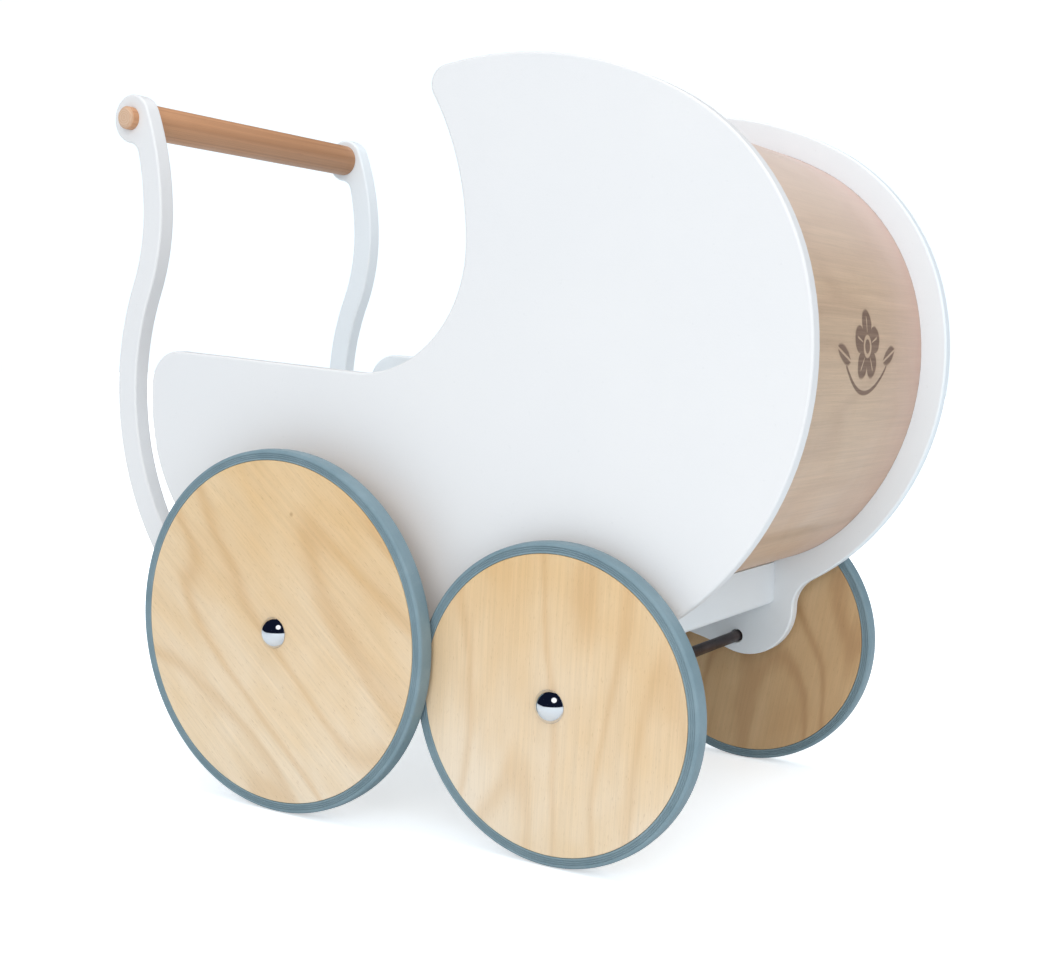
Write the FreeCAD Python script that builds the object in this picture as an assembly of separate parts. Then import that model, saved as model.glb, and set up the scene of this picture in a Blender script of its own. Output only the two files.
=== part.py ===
import FreeCAD
import Part
import math
import os

# Wooden doll stroller: two painted plywood sides with a crescent hood, a bent
# plywood shell between them, two bowed arms with a dowel handle, and four
# plywood wheels with rubber tyres on two steel axles.
#
# Millimetres, +X forwards (the way the hood faces away from the handle), +Y to
# the stroller's left, +Z up.  The pieces are drawn from the point on the ground
# under the rear axle, on the middle plane, and are moved at the end so that the
# origin is on the ground under the middle of the whole stroller.

# ---- Overall sizes ------------------------------------------------------------
BODY_WIDTH = 250.0          # over the outer faces of the two side panels
WHEELBASE = 198.0           # from rear axle to front axle
REAR_WHEEL_RADIUS = 117.0   # over the tyre
FRONT_WHEEL_RADIUS = 95.5   # over the tyre
HOOD_REACH = 342.2          # foremost point of the hood, ahead of the rear axle
HOOD_CENTRE_RISE = 181.4    # and its height above the rear axle
EDGE_ROUND = 1.6            # rounding along the edges of the painted boards
TINY = 1e-6                 # how close two levels count as the same
OVERCUT = 1.0               # how far a cutting tool runs past a surface

# ---- Side panels: outline -----------------------------------------------------
PANEL_THICKNESS = 10.0
FRONT_RADIUS = 182.2        # front of the hood, round down to the axle lug
SHOULDER_RADIUS = 154.0     # upper front quarter of the hood
SHOULDER_START = 13.2       # degrees above level, where the shoulder takes over
TOP_RADIUS = 250.0          # flatter top of the hood
TOP_START = 62.0            # degrees above level, where the top takes over
OPENING_X = 120.0           # deepest point of the crescent opening
OPENING_RISE = 244.0        # and its height above the rear axle
OPENING_LOWER_RADIUS = 78.0
OPENING_UPPER_RADIUS = 171.4
TIP_ROUND = 11.0            # rounding of the hood's tip
SILL_SLOPE = 3.8            # degrees by which the low top edge rises to the rear
REAR_REACH = 145.2          # rearmost point of the panels, behind the rear axle
REAR_RADIUS = 114.2
REAR_CENTRE_RISE = 137.0    # height of that point above the rear axle
REAR_CORNER_ROUND = 25.0
REAR_LUG_RADIUS = 38.0      # lug round the rear axle
FRONT_LUG_RADIUS = 36.7     # lug that carries the front axle
FRONT_LUG_AHEAD = 6.0       # centre of that lug, ahead of the front axle
FRONT_LUG_ABOVE = 23.9      # and above it
LUG_NOTCH_ROUND = 24.0      # hollow between the front lug and the hood's edge
ARCH_RADIUS = 250.0         # hollow lower edge between the two lugs

# ---- Boards between the panels ------------------------------------------------
GROOVE_DEPTH = 4.0
GROOVE_CLEARANCE = 0.1      # on each side of a board in its groove
SHELL_INSET = 17.0          # hood's edge to the outer face of the bent shell
SHELL_THICKNESS = 5.5
SHELL_TOE_START = -42.0     # degrees from level, where the toe bends in tighter
SHELL_TOE_RADIUS = 110.0
SHELL_TIP_ANGLE = 97.0      # degrees, where the shell ends near the hood's tip
RAIL_AHEAD = 28.0           # front face of the rail, ahead of the front axle
RAIL_THICKNESS = 12.0
RAIL_HEIGHT = 30.5
RAIL_ROUND = 4.0            # rounding of the rail's lower front edge
FLOOR_THICKNESS = 6.0
RAIL_GAP = 1.0              # shadow gap between the shell's lower edge and the rail
SHELL_SETBACK = 3.0         # shell's lower edge, behind the rail's front face
FLOOR_DROP = 2.0            # top of the rail down to the top of the floor
FLOOR_REAR_X = -56.0        # rear edge of the floor, from the rear axle
REAR_BOARD_THICKNESS = 9.0
REAR_BOARD_HEIGHT = 140.0   # along its slope
REAR_BOARD_LEAN = 26.0      # degrees by which it leans back

# ---- Handle arms and handle bar -----------------------------------------------
ARM_THICKNESS = 12.0
ARM_OUT = 5.0               # arm's outer face, beyond the panel's inner face
ARM_WIDTH = 17.6
HANDLE_BEHIND = 168.0       # handle bar's axis, behind the rear axle
HANDLE_RISE = 336.5         # and its height above the rear axle
ARM_HEAD_RADIUS = 16.5      # round head of the arm about the handle bar
ARM_NECK_ROUND = 10.0       # hollow between the head and the arm's rear edge
ARM_WAIST_X = -148.6        # foremost point of the arm's upper bow
ARM_WAIST_RISE = 274.0      # height of that point above the rear axle
ARM_UPPER_RADIUS = 135.0    # of the upper bow, below the waist
ARM_BACK_X = -175.6         # rearmost point of the arm's lower bow
ARM_LOWER_RADIUS = 185.0
ARM_HEEL_RADIUS = 60.0      # tight bend at the arm's foot
ARM_FOOT_GAP = 0.2          # top of the arm's foot to the floor
ARM_FOOT_X = 44.0           # front end of the foot, from the rear axle
BAR_RADIUS = 12.0
TENON_RADIUS = 7.8
TENON_OUT = 6.5             # how far the tenon stands out of the arm
TENON_CHAMFER = 2.0
SLIP_CLEARANCE = 0.05       # radial, for pieces put in by hand

# ---- Axles and wheels ---------------------------------------------------------
AXLE_RADIUS = 4.0
WHEEL_WIDTH = 12.0
TYRE_THICKNESS = 7.0
TYRE_SHOULDER_ROUND = 2.4
TYRE_RIB_DEPTH = 1.5        # rib inside the tyre, in a groove round the disc
TYRE_RIB_WIDTH = 5.0
DISC_EDGE_ROUND = 0.6
FRONT_WHEEL_OUT = 8.4       # panel's outer face to the front wheel's inner face
WHEEL_PASSING_GAP = 2.3     # between the planes of a front and a rear wheel
RUNNING_CLEARANCE = 0.08    # radial, wheel bush on its axle
END_FLOAT = 0.3             # on each side of a wheel's bush
HUB_BUSH_WALL = 3.5
PANEL_BUSH_WALL = 1.0
BUSH_RECESS = 4.5           # panel bush's inner end, inside the panel's inner face
BUSH_FLANGE = 2.5           # flange of a panel bush, beyond its sleeve
BUSH_FLANGE_THICKNESS = 1.2
SPACER_WALL = 3.5
WASHER_RIM = 5.5
WASHER_THICKNESS = 1.0
CAP_BRIM = 6.0              # cap's edge, beyond the axle
CAP_HEIGHT = 6.2
CAP_WALL = 0.9
CAP_GRIP = 3.6              # length of axle held in the cap
CAP_COLLAR_WALL = 1.3

# ---- Hidden joinery -----------------------------------------------------------
BOLT_RADIUS = 3.0
BOLT_HEAD_RADIUS = 6.5
BOLT_HEAD_HEIGHT = 2.6
BOLT_SOCKET = 4.0           # across the flats of the hexagon socket
BOLT_SOCKET_DEPTH = 1.8
INSERT_RADIUS = 5.0
INSERT_LENGTH = 7.5
ARM_BOLT_X = (-40.0, 30.0)  # along the arm's foot, from the rear axle
CAM_RADIUS = 6.0
CAM_HEIGHT = 7.0
CAM_SLOT_WIDTH = 1.6
CAM_SLOT_DEPTH = 1.5
CAM_BOLT_RADIUS = 2.5
CAM_SCREW_RADIUS = 3.0
CAM_SCREW_LENGTH = 7.0
CAM_BOLT_REACH = 24.0       # from the panel's face to the middle of the cam
CAM_CLEARANCE = 0.1
PIN_RADIUS = 3.0            # wooden locating pins
PIN_IN_PANEL = 6.0
PIN_IN_BOARD = 14.0
RAIL_CAM_SHARE = 0.32       # of the rail's height, from its lower edge
RAIL_PIN_SHARE = 0.74
REAR_CAM_SHARES = (0.24, 0.78)      # of the rear board's height along its slope
REAR_PIN_SHARES = (0.12, 0.51, 0.9)

# ---- Places worked out from the sizes above -----------------------------------
HALF_WIDTH = BODY_WIDTH / 2
INNER_Y = HALF_WIDTH - PANEL_THICKNESS          # panels' inner faces
GROOVE_Y = INNER_Y + GROOVE_DEPTH               # bottoms of the grooves
REAR_AXLE = (0.0, REAR_WHEEL_RADIUS)
FRONT_AXLE = (WHEELBASE, FRONT_WHEEL_RADIUS)
RAIL_FRONT_X = WHEELBASE + RAIL_AHEAD
HOOD_CENTRE_Z = REAR_WHEEL_RADIUS + HOOD_CENTRE_RISE
OPENING_Z = REAR_WHEEL_RADIUS + OPENING_RISE
REAR_CENTRE_Z = REAR_WHEEL_RADIUS + REAR_CENTRE_RISE
HANDLE_Z = REAR_WHEEL_RADIUS + HANDLE_RISE
HANDLE_AXIS = (-HANDLE_BEHIND, HANDLE_Z)
ARM_WAIST_Z = REAR_WHEEL_RADIUS + ARM_WAIST_RISE
ARM_OUTER_Y = INNER_Y + ARM_OUT
ARM_INNER_Y = ARM_OUTER_Y - ARM_THICKNESS
FRONT_CENTRE = (HOOD_REACH - FRONT_RADIUS, HOOD_CENTRE_Z)
FRONT_LUG = (FRONT_AXLE[0] + FRONT_LUG_AHEAD, FRONT_AXLE[1] + FRONT_LUG_ABOVE)
FRONT_WHEEL_Y = HALF_WIDTH + FRONT_WHEEL_OUT    # wheels' inner faces
REAR_WHEEL_Y = FRONT_WHEEL_Y + WHEEL_WIDTH + WHEEL_PASSING_GAP
HUB_BUSH_RADIUS = AXLE_RADIUS + HUB_BUSH_WALL
PANEL_BUSH_RADIUS = AXLE_RADIUS + PANEL_BUSH_WALL
BUSH_FLANGE_RADIUS = PANEL_BUSH_RADIUS + BUSH_FLANGE
SPACER_RADIUS = AXLE_RADIUS + SPACER_WALL
WASHER_RADIUS = AXLE_RADIUS + WASHER_RIM
CAP_RADIUS = AXLE_RADIUS + CAP_BRIM

PIECES = {}                 # node name -> shape


# ---- Drawing in the upright X-Z plane -----------------------------------------
def at(point, y=0.0):
    """Space point for an (x, z) point of the side view."""
    return FreeCAD.Vector(point[0], y, point[1])


def polar(centre, radius, degrees):
    """Point of a circle, at an angle measured from +X towards +Z."""
    angle = math.radians(degrees)
    return (centre[0] + radius * math.cos(angle), centre[1] + radius * math.sin(angle))


def bearing(centre, point):
    """Angle in degrees, from +X towards +Z, of a point seen from a centre."""
    return math.degrees(math.atan2(point[1] - centre[1], point[0] - centre[0]))


def circles_meet(centre_a, radius_a, centre_b, radius_b, side):
    """Where two circles cross; side 1 or -1 is left or right of the line from a to b."""
    dx = centre_b[0] - centre_a[0]
    dz = centre_b[1] - centre_a[1]
    gap = math.hypot(dx, dz)
    along = (radius_a ** 2 - radius_b ** 2 + gap ** 2) / (2 * gap)
    across = side * math.sqrt(radius_a ** 2 - along ** 2)
    x = centre_a[0] + (along * dx - across * dz) / gap
    z = centre_a[1] + (along * dz + across * dx) / gap
    return (x, z)


def line(start, end):
    return Part.makeLine(at(start), at(end))


def arc(centre, radius, start, end):
    """Arc between two angles in degrees; the larger end angle runs it the other way."""
    middle = polar(centre, radius, (start + end) / 2)
    ends = (polar(centre, radius, start), polar(centre, radius, end))
    return Part.Arc(at(ends[0]), at(middle), at(ends[1])).toShape()


def plate(edges, y_low, y_high):
    """Flat board with the outline of the edges, from one y to another."""
    outline = Part.Wire(Part.__sortEdges__(edges))
    face = Part.Face(outline)
    face.translate(FreeCAD.Vector(0, y_low, 0))
    return face.extrude(FreeCAD.Vector(0, y_high - y_low, 0))


def tube(point, y_low, y_high, radius, bore=0.0):
    """Cylinder or tube along Y about an (x, z) point."""
    along = FreeCAD.Vector(0, 1, 0)
    solid = Part.makeCylinder(radius, y_high - y_low, at(point, y_low), along)
    if bore:
        solid = solid.cut(Part.makeCylinder(bore, y_high - y_low, at(point, y_low), along))
    return solid


def box(x_low, x_high, y_low, y_high, z_low, z_high):
    corner = FreeCAD.Vector(x_low, y_low, z_low)
    return Part.makeBox(x_high - x_low, y_high - y_low, z_high - z_low, corner)


def mirrored(shape):
    """The same piece for the other side of the stroller."""
    return shape.mirror(FreeCAD.Vector(0, 0, 0), FreeCAD.Vector(0, 1, 0))


def both_sides(shapes):
    """The shapes and their mirror images, as one list."""
    return list(shapes) + [mirrored(shape) for shape in shapes]


def upright_edges_at(solid, point):
    """Edges of a board that run through its thickness at an (x, z) point."""
    found = []
    for edge in solid.Edges:
        ends = [vertex.Point for vertex in edge.Vertexes]
        if all(math.hypot(end.x - point[0], end.z - point[1]) < TINY for end in ends):
            found.append(edge)
    return found


def round_rims(solid, levels, radius):
    """Round the edges of a board that lie in its flat faces, at the given y levels."""
    rims = []
    for edge in solid.Edges:
        low = edge.BoundBox.YMin
        high = edge.BoundBox.YMax
        if high - low < TINY and any(abs(low - level) < TINY for level in levels):
            rims.append(edge)
    return solid.makeFillet(radius, rims)


def save(name, shapes):
    """Keep a node made of one solid or of several separate ones."""
    if isinstance(shapes, list):
        solids = [solid for shape in shapes for solid in shape.Solids]
        PIECES[name] = Part.makeCompound(solids)
    else:
        PIECES[name] = shapes.Solids[0]


# ---- Side panels --------------------------------------------------------------
def hood_curves(inset):
    """Centre and radius of the hood's three arcs, moved in by a distance."""
    front = (FRONT_CENTRE, FRONT_RADIUS - inset)
    shoulder_centre = polar(FRONT_CENTRE, FRONT_RADIUS - SHOULDER_RADIUS, SHOULDER_START)
    shoulder = (shoulder_centre, SHOULDER_RADIUS - inset)
    top_centre = polar(shoulder_centre, SHOULDER_RADIUS - TOP_RADIUS, TOP_START)
    top = (top_centre, TOP_RADIUS - inset)
    return front, shoulder, top


def panel_outline():
    """Outline of a side panel, with its corners still sharp, and those corners."""
    front, shoulder, top = hood_curves(0.0)
    upper_centre = (OPENING_X - OPENING_UPPER_RADIUS, OPENING_Z)
    lower_centre = (OPENING_X - OPENING_LOWER_RADIUS, OPENING_Z)
    tip = circles_meet(upper_centre, OPENING_UPPER_RADIUS, top[0], top[1], 1)
    notch = circles_meet(front[0], front[1], FRONT_LUG, FRONT_LUG_RADIUS, 1)
    arch_centre = circles_meet(REAR_AXLE, REAR_LUG_RADIUS + ARCH_RADIUS,
                               FRONT_LUG, FRONT_LUG_RADIUS + ARCH_RADIUS, -1)
    arch_front = bearing(FRONT_LUG, arch_centre)
    arch_rear = bearing(REAR_AXLE, arch_centre)

    rear_centre = (REAR_RADIUS - REAR_REACH, REAR_CENTRE_Z)
    drop = math.hypot(rear_centre[0] - REAR_AXLE[0], rear_centre[1] - REAR_AXLE[1])
    swing = math.degrees(math.acos((REAR_RADIUS - REAR_LUG_RADIUS) / drop))
    belly = bearing(rear_centre, REAR_AXLE) - swing

    sill_start = polar(lower_centre, OPENING_LOWER_RADIUS, 270.0 - SILL_SLOPE)
    rise = math.tan(math.radians(SILL_SLOPE)) * (sill_start[0] + REAR_REACH)
    rear_corner = (-REAR_REACH, sill_start[1] + rise)

    edges = [
        arc(top[0], top[1], bearing(top[0], tip), TOP_START),
        arc(shoulder[0], shoulder[1], TOP_START, SHOULDER_START),
        arc(front[0], front[1], SHOULDER_START, bearing(front[0], notch)),
        arc(FRONT_LUG, FRONT_LUG_RADIUS, bearing(FRONT_LUG, notch), arch_front),
        arc(arch_centre, ARCH_RADIUS, arch_front + 180.0, arch_rear + 180.0),
        arc(REAR_AXLE, REAR_LUG_RADIUS, arch_rear, belly),
        line(polar(REAR_AXLE, REAR_LUG_RADIUS, belly), polar(rear_centre, REAR_RADIUS, belly)),
        arc(rear_centre, REAR_RADIUS, belly, -180.0),
        line((-REAR_REACH, REAR_CENTRE_Z), rear_corner),
        line(rear_corner, sill_start),
        arc(lower_centre, OPENING_LOWER_RADIUS, -90.0 - SILL_SLOPE, 0.0),
        arc(upper_centre, OPENING_UPPER_RADIUS, 0.0, bearing(upper_centre, tip)),
    ]
    corners = [(tip, TIP_ROUND), (notch, LUG_NOTCH_ROUND), (rear_corner, REAR_CORNER_ROUND)]
    return edges, corners


def shell_toe():
    """Centre of the shell's lower bend and the angle at which its lower edge lies."""
    to_centre = FRONT_RADIUS - SHELL_INSET - SHELL_TOE_RADIUS
    centre = polar(FRONT_CENTRE, to_centre, SHELL_TOE_START)
    ahead = RAIL_FRONT_X - SHELL_SETBACK - centre[0]
    return centre, -math.degrees(math.acos(ahead / SHELL_TOE_RADIUS))


def shell_edges(grow):
    """Section of the bent shell; grow thickens it on both faces and at its ends."""
    outer = hood_curves(SHELL_INSET - grow)
    inner = hood_curves(SHELL_INSET + SHELL_THICKNESS + grow)
    toe_centre, toe_end = shell_toe()
    toe_end -= math.degrees(grow / SHELL_TOE_RADIUS)
    tip_end = SHELL_TIP_ANGLE + math.degrees(grow / TOP_RADIUS)
    faces = []
    for (front, shoulder, top), toe_radius in (
            (outer, SHELL_TOE_RADIUS + grow),
            (inner, SHELL_TOE_RADIUS - SHELL_THICKNESS - grow)):
        faces.append([
            arc(toe_centre, toe_radius, toe_end, SHELL_TOE_START),
            arc(front[0], front[1], SHELL_TOE_START, SHOULDER_START),
            arc(shoulder[0], shoulder[1], SHOULDER_START, TOP_START),
            arc(top[0], top[1], TOP_START, tip_end),
        ])
    ends = [
        Part.makeLine(faces[0][0].Vertexes[0].Point, faces[1][0].Vertexes[0].Point),
        Part.makeLine(faces[0][-1].Vertexes[-1].Point, faces[1][-1].Vertexes[-1].Point),
    ]
    return faces[0] + faces[1] + ends


def rail_levels():
    """Bottom and top of the front rail, which lies just under the shell's lower edge."""
    centre, end = shell_toe()
    top = polar(centre, SHELL_TOE_RADIUS, end)[1] - RAIL_GAP
    return top - RAIL_HEIGHT, top


def floor_levels():
    top = rail_levels()[1] - FLOOR_DROP
    return top - FLOOR_THICKNESS, top


def arm_foot_z():
    """Height of the middle of the arm's foot, just under the floor."""
    return floor_levels()[0] - ARM_FOOT_GAP - ARM_WIDTH / 2


def rear_board_point(up, back):
    """Point of the leaning rear board: up its slope from the floor, and back through it."""
    lean = math.radians(REAR_BOARD_LEAN)
    x = FLOOR_REAR_X - up * math.sin(lean) - back * math.cos(lean)
    z = floor_levels()[0] + up * math.cos(lean) - back * math.sin(lean)
    return (x, z)


def joints_of_boards():
    """Cam fittings and wooden pins at one end of the rail and of the rear board.

    Each cam fitting is its centre in the side view and the direction from which
    the cam goes in; each pin is its centre.
    """
    rail_x = RAIL_FRONT_X - RAIL_THICKNESS / 2
    middle = REAR_BOARD_THICKNESS / 2
    lean = math.radians(REAR_BOARD_LEAN)
    back = (-math.cos(lean), -math.sin(lean))
    rail_low = rail_levels()[0]
    cams = [((rail_x, rail_low + RAIL_HEIGHT * RAIL_CAM_SHARE), (-1.0, 0.0), RAIL_THICKNESS)]
    for share in REAR_CAM_SHARES:
        point = rear_board_point(REAR_BOARD_HEIGHT * share, middle)
        cams.append((point, back, REAR_BOARD_THICKNESS))
    pins = [(rail_x, rail_low + RAIL_HEIGHT * RAIL_PIN_SHARE)]
    for share in REAR_PIN_SHARES:
        pins.append(rear_board_point(REAR_BOARD_HEIGHT * share, middle))
    return cams, pins


def panel_blank(y_low, y_high):
    """Board with a side panel's outline, its rims still sharp."""
    edges, corners = panel_outline()
    blank = plate(edges, y_low, y_high)
    for point, radius in corners:
        blank = blank.makeFillet(radius, upright_edges_at(blank, point))
    return blank


def side_panel():
    """The left panel: outline, grooves for shell and floor, and its holes."""
    panel = panel_blank(INNER_Y, HALF_WIDTH)
    panel = round_rims(panel, (INNER_Y, HALF_WIDTH), EDGE_ROUND)

    panel = panel.cut(plate(shell_edges(GROOVE_CLEARANCE), INNER_Y, GROOVE_Y))
    floor_low, floor_top = floor_levels()
    panel = panel.cut(box(FLOOR_REAR_X, RAIL_FRONT_X - RAIL_THICKNESS, INNER_Y, GROOVE_Y,
                          floor_low - GROOVE_CLEARANCE, floor_top + GROOVE_CLEARANCE))
    for axle in (REAR_AXLE, FRONT_AXLE):
        panel = panel.cut(tube(axle, INNER_Y, HALF_WIDTH, PANEL_BUSH_RADIUS))
    for x in ARM_BOLT_X:
        panel = panel.cut(tube((x, arm_foot_z()), INNER_Y, INNER_Y + INSERT_LENGTH,
                               INSERT_RADIUS))
    cams, pins = joints_of_boards()
    for point, _, _ in cams:
        panel = panel.cut(tube(point, INNER_Y, INNER_Y + CAM_SCREW_LENGTH, CAM_SCREW_RADIUS))
    for point in pins:
        panel = panel.cut(tube(point, INNER_Y, INNER_Y + PIN_IN_PANEL, PIN_RADIUS))
    return panel


# ---- Boards between the panels ------------------------------------------------
def hood_shell():
    return plate(shell_edges(0.0), -GROOVE_Y, GROOVE_Y)


def cam_space(point, inwards, depth, radius, height):
    """Round pocket of a cam in one end of a board, from the face it goes in by."""
    direction = FreeCAD.Vector(-inwards[0], 0, -inwards[1])
    start = at(point, INNER_Y - CAM_BOLT_REACH) - direction * (depth / 2)
    return Part.makeCylinder(radius, height, start, direction)


def drilled_for_joints(board, cams, pins):
    """Cam pockets, bolt bores and pin bores at both ends of a board."""
    cuts = []
    for point, inwards, depth in cams:
        cuts.append(cam_space(point, inwards, depth, CAM_RADIUS, CAM_HEIGHT))
        cuts.append(tube(point, INNER_Y - CAM_BOLT_REACH, INNER_Y,
                         CAM_BOLT_RADIUS + CAM_CLEARANCE))
    for point in pins:
        cuts.append(tube(point, INNER_Y - PIN_IN_BOARD, INNER_Y, PIN_RADIUS))
    for cut in both_sides(cuts):
        board = board.cut(cut)
    return board


def front_rail():
    cams, pins = joints_of_boards()
    low, top = rail_levels()
    rail = box(RAIL_FRONT_X - RAIL_THICKNESS, RAIL_FRONT_X, -INNER_Y, INNER_Y, low, top)
    lower_front = []
    for edge in rail.Edges:
        bounds = edge.BoundBox
        if bounds.XMin > RAIL_FRONT_X - TINY and bounds.ZMax < low + TINY:
            lower_front.append(edge)
    rail = rail.makeFillet(RAIL_ROUND, lower_front)
    return drilled_for_joints(rail, cams[:1], pins[:1])


def floor_board():
    low, top = floor_levels()
    return box(FLOOR_REAR_X, RAIL_FRONT_X - RAIL_THICKNESS, -GROOVE_Y, GROOVE_Y, low, top)


def rear_board():
    """Leaning board behind the floor, its lower edge bevelled level with the floor."""
    cams, pins = joints_of_boards()
    bevel = REAR_BOARD_THICKNESS * math.tan(math.radians(REAR_BOARD_LEAN))
    corners = [
        rear_board_point(0.0, 0.0),
        rear_board_point(REAR_BOARD_HEIGHT, 0.0),
        rear_board_point(REAR_BOARD_HEIGHT, REAR_BOARD_THICKNESS),
        rear_board_point(bevel, REAR_BOARD_THICKNESS),
    ]
    edges = [line(corners[i], corners[(i + 1) % 4]) for i in range(4)]
    board = plate(edges, -INNER_Y, INNER_Y)
    top_edges = []
    for edge in board.Edges:
        if edge.BoundBox.ZMin > corners[2][1] - TINY and edge.Length > INNER_Y:
            top_edges.append(edge)
    board = board.makeFillet(EDGE_ROUND, top_edges)
    return drilled_for_joints(board, cams[1:], pins[1:])


# ---- Handle arms and bar ------------------------------------------------------
def arm_outline():
    """Closed outline of an arm: a strip of constant width with a round head.

    Above the waist the arm's front edge runs smoothly into the head.
    """
    half = ARM_WIDTH / 2
    head = HANDLE_AXIS
    waist_centre = (ARM_WAIST_X - ARM_UPPER_RADIUS, ARM_WAIST_Z)
    back = ARM_WAIST_X + half + HANDLE_BEHIND
    rise = HANDLE_Z - ARM_WAIST_Z
    front_radius = (back ** 2 + rise ** 2 - ARM_HEAD_RADIUS ** 2) / (2 * (back - ARM_HEAD_RADIUS))
    rear_radius = front_radius - ARM_WIDTH
    upper_centre = (ARM_WAIST_X + half - front_radius, ARM_WAIST_Z)
    bow = ARM_WAIST_X - ARM_BACK_X
    reach = ARM_UPPER_RADIUS + ARM_LOWER_RADIUS
    fall = math.sqrt(reach ** 2 - (reach - bow) ** 2)
    lower_centre = (ARM_BACK_X + ARM_LOWER_RADIUS, ARM_WAIST_Z - fall)
    turn = bearing(waist_centre, lower_centre)
    heel_z = arm_foot_z() + ARM_HEEL_RADIUS
    between = ARM_LOWER_RADIUS - ARM_HEEL_RADIUS
    heel_x = lower_centre[0] - math.sqrt(between ** 2 - (lower_centre[1] - heel_z) ** 2)
    heel_centre = (heel_x, heel_z)
    heel_start = bearing(lower_centre, heel_centre)
    foot_end = (ARM_FOOT_X - half, arm_foot_z())

    head_from = bearing(upper_centre, head)
    rear_meets_head = circles_meet(upper_centre, rear_radius, head, ARM_HEAD_RADIUS, -1)
    head_to = bearing(head, rear_meets_head) + 360.0
    edges = [
        arc(waist_centre, ARM_UPPER_RADIUS + half, turn, 0.0),
        arc(upper_centre, front_radius, 0.0, head_from),
        arc(head, ARM_HEAD_RADIUS, head_from, head_to),
        arc(upper_centre, rear_radius, bearing(upper_centre, rear_meets_head), 0.0),
        arc(waist_centre, ARM_UPPER_RADIUS - half, 0.0, turn),
        arc(lower_centre, ARM_LOWER_RADIUS + half, turn + 180.0, heel_start + 360.0),
        arc(heel_centre, ARM_HEEL_RADIUS + half, heel_start, -90.0),
        line((heel_x, arm_foot_z() - half), (foot_end[0], arm_foot_z() - half)),
        arc(foot_end, half, -90.0, 90.0),
        line((foot_end[0], arm_foot_z() + half), (heel_x, arm_foot_z() + half)),
        arc(heel_centre, ARM_HEEL_RADIUS - half, -90.0, heel_start),
        arc(lower_centre, ARM_LOWER_RADIUS - half, heel_start + 360.0, turn + 180.0),
    ]
    return edges, rear_meets_head


def handle_arm():
    """Bowed arm; its foot is rebated to lie inside the panel, against its rear edge."""
    edges, neck = arm_outline()
    arm = plate(edges, ARM_INNER_Y, ARM_OUTER_Y)
    arm = arm.makeFillet(ARM_NECK_ROUND, upright_edges_at(arm, neck))
    arm = round_rims(arm, (ARM_INNER_Y, ARM_OUTER_Y), EDGE_ROUND)
    arm = arm.cut(panel_blank(INNER_Y, ARM_OUTER_Y + OVERCUT))
    arm = arm.cut(tube(HANDLE_AXIS, ARM_INNER_Y, ARM_OUTER_Y, TENON_RADIUS + SLIP_CLEARANCE))
    for x in ARM_BOLT_X:
        arm = arm.cut(tube((x, arm_foot_z()), ARM_INNER_Y, INNER_Y,
                           BOLT_RADIUS + CAM_CLEARANCE))
    return arm


def handle_bar():
    """Dowel with turned-down ends that pass through the arms."""
    half_bar = ARM_INNER_Y
    half_tenon = ARM_OUTER_Y + TENON_OUT
    centre = HANDLE_AXIS
    bar = tube(centre, -half_bar, half_bar, BAR_RADIUS)
    tenon = tube(centre, -half_tenon, half_tenon, TENON_RADIUS)
    rims = [edge for edge in tenon.Edges if edge.BoundBox.YLength < TINY]
    tenon = tenon.makeChamfer(TENON_CHAMFER, rims)
    return bar.fuse(tenon).removeSplitter()


# ---- Axles and wheels ---------------------------------------------------------
def wheel_outer_y(inner_y):
    return inner_y + WHEEL_WIDTH


def axle(point, inner_y):
    half = wheel_outer_y(inner_y) + END_FLOAT + CAP_GRIP
    return tube(point, -half, half, AXLE_RADIUS)


def axle_cap(point, inner_y):
    """Pressed dome that grips the end of the axle."""
    base_y = wheel_outer_y(inner_y) + END_FLOAT
    ball = (CAP_RADIUS ** 2 + CAP_HEIGHT ** 2) / (2 * CAP_HEIGHT)
    centre_y = base_y + CAP_HEIGHT - ball
    keep = tube(point, base_y, base_y + CAP_HEIGHT + OVERCUT, CAP_RADIUS + OVERCUT)
    dome = Part.makeSphere(ball, at(point, centre_y)).common(keep)
    inside = Part.makeSphere(ball - CAP_WALL, at(point, centre_y)).common(keep)
    collar = tube(point, base_y, base_y + CAP_HEIGHT, AXLE_RADIUS + CAP_COLLAR_WALL)
    cap = dome.cut(inside).fuse(collar.common(dome)).removeSplitter()
    return cap.cut(tube(point, base_y, base_y + CAP_GRIP, AXLE_RADIUS))


def wheel_disc(point, inner_y, radius):
    disc = tube(point, inner_y, wheel_outer_y(inner_y), radius - TYRE_THICKNESS)
    disc = round_rims(disc, (inner_y, wheel_outer_y(inner_y)), DISC_EDGE_ROUND)
    middle = inner_y + WHEEL_WIDTH / 2
    seat = radius - TYRE_THICKNESS
    groove = tube(point, middle - TYRE_RIB_WIDTH / 2, middle + TYRE_RIB_WIDTH / 2,
                  seat + OVERCUT, seat - TYRE_RIB_DEPTH)
    bore = tube(point, inner_y, wheel_outer_y(inner_y), HUB_BUSH_RADIUS)
    return disc.cut(groove).cut(bore)


def tyre(point, inner_y, radius):
    seat = radius - TYRE_THICKNESS
    outer_y = wheel_outer_y(inner_y)
    body = tube(point, inner_y, outer_y, radius)
    body = round_rims(body, (inner_y, outer_y), TYRE_SHOULDER_ROUND)
    middle = inner_y + WHEEL_WIDTH / 2
    body = body.cut(tube(point, inner_y, middle - TYRE_RIB_WIDTH / 2, seat))
    body = body.cut(tube(point, middle + TYRE_RIB_WIDTH / 2, outer_y, seat))
    return body.cut(tube(point, inner_y, outer_y, seat - TYRE_RIB_DEPTH))


def hub_bush(point, inner_y):
    return tube(point, inner_y, wheel_outer_y(inner_y), HUB_BUSH_RADIUS,
                AXLE_RADIUS + RUNNING_CLEARANCE)


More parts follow.
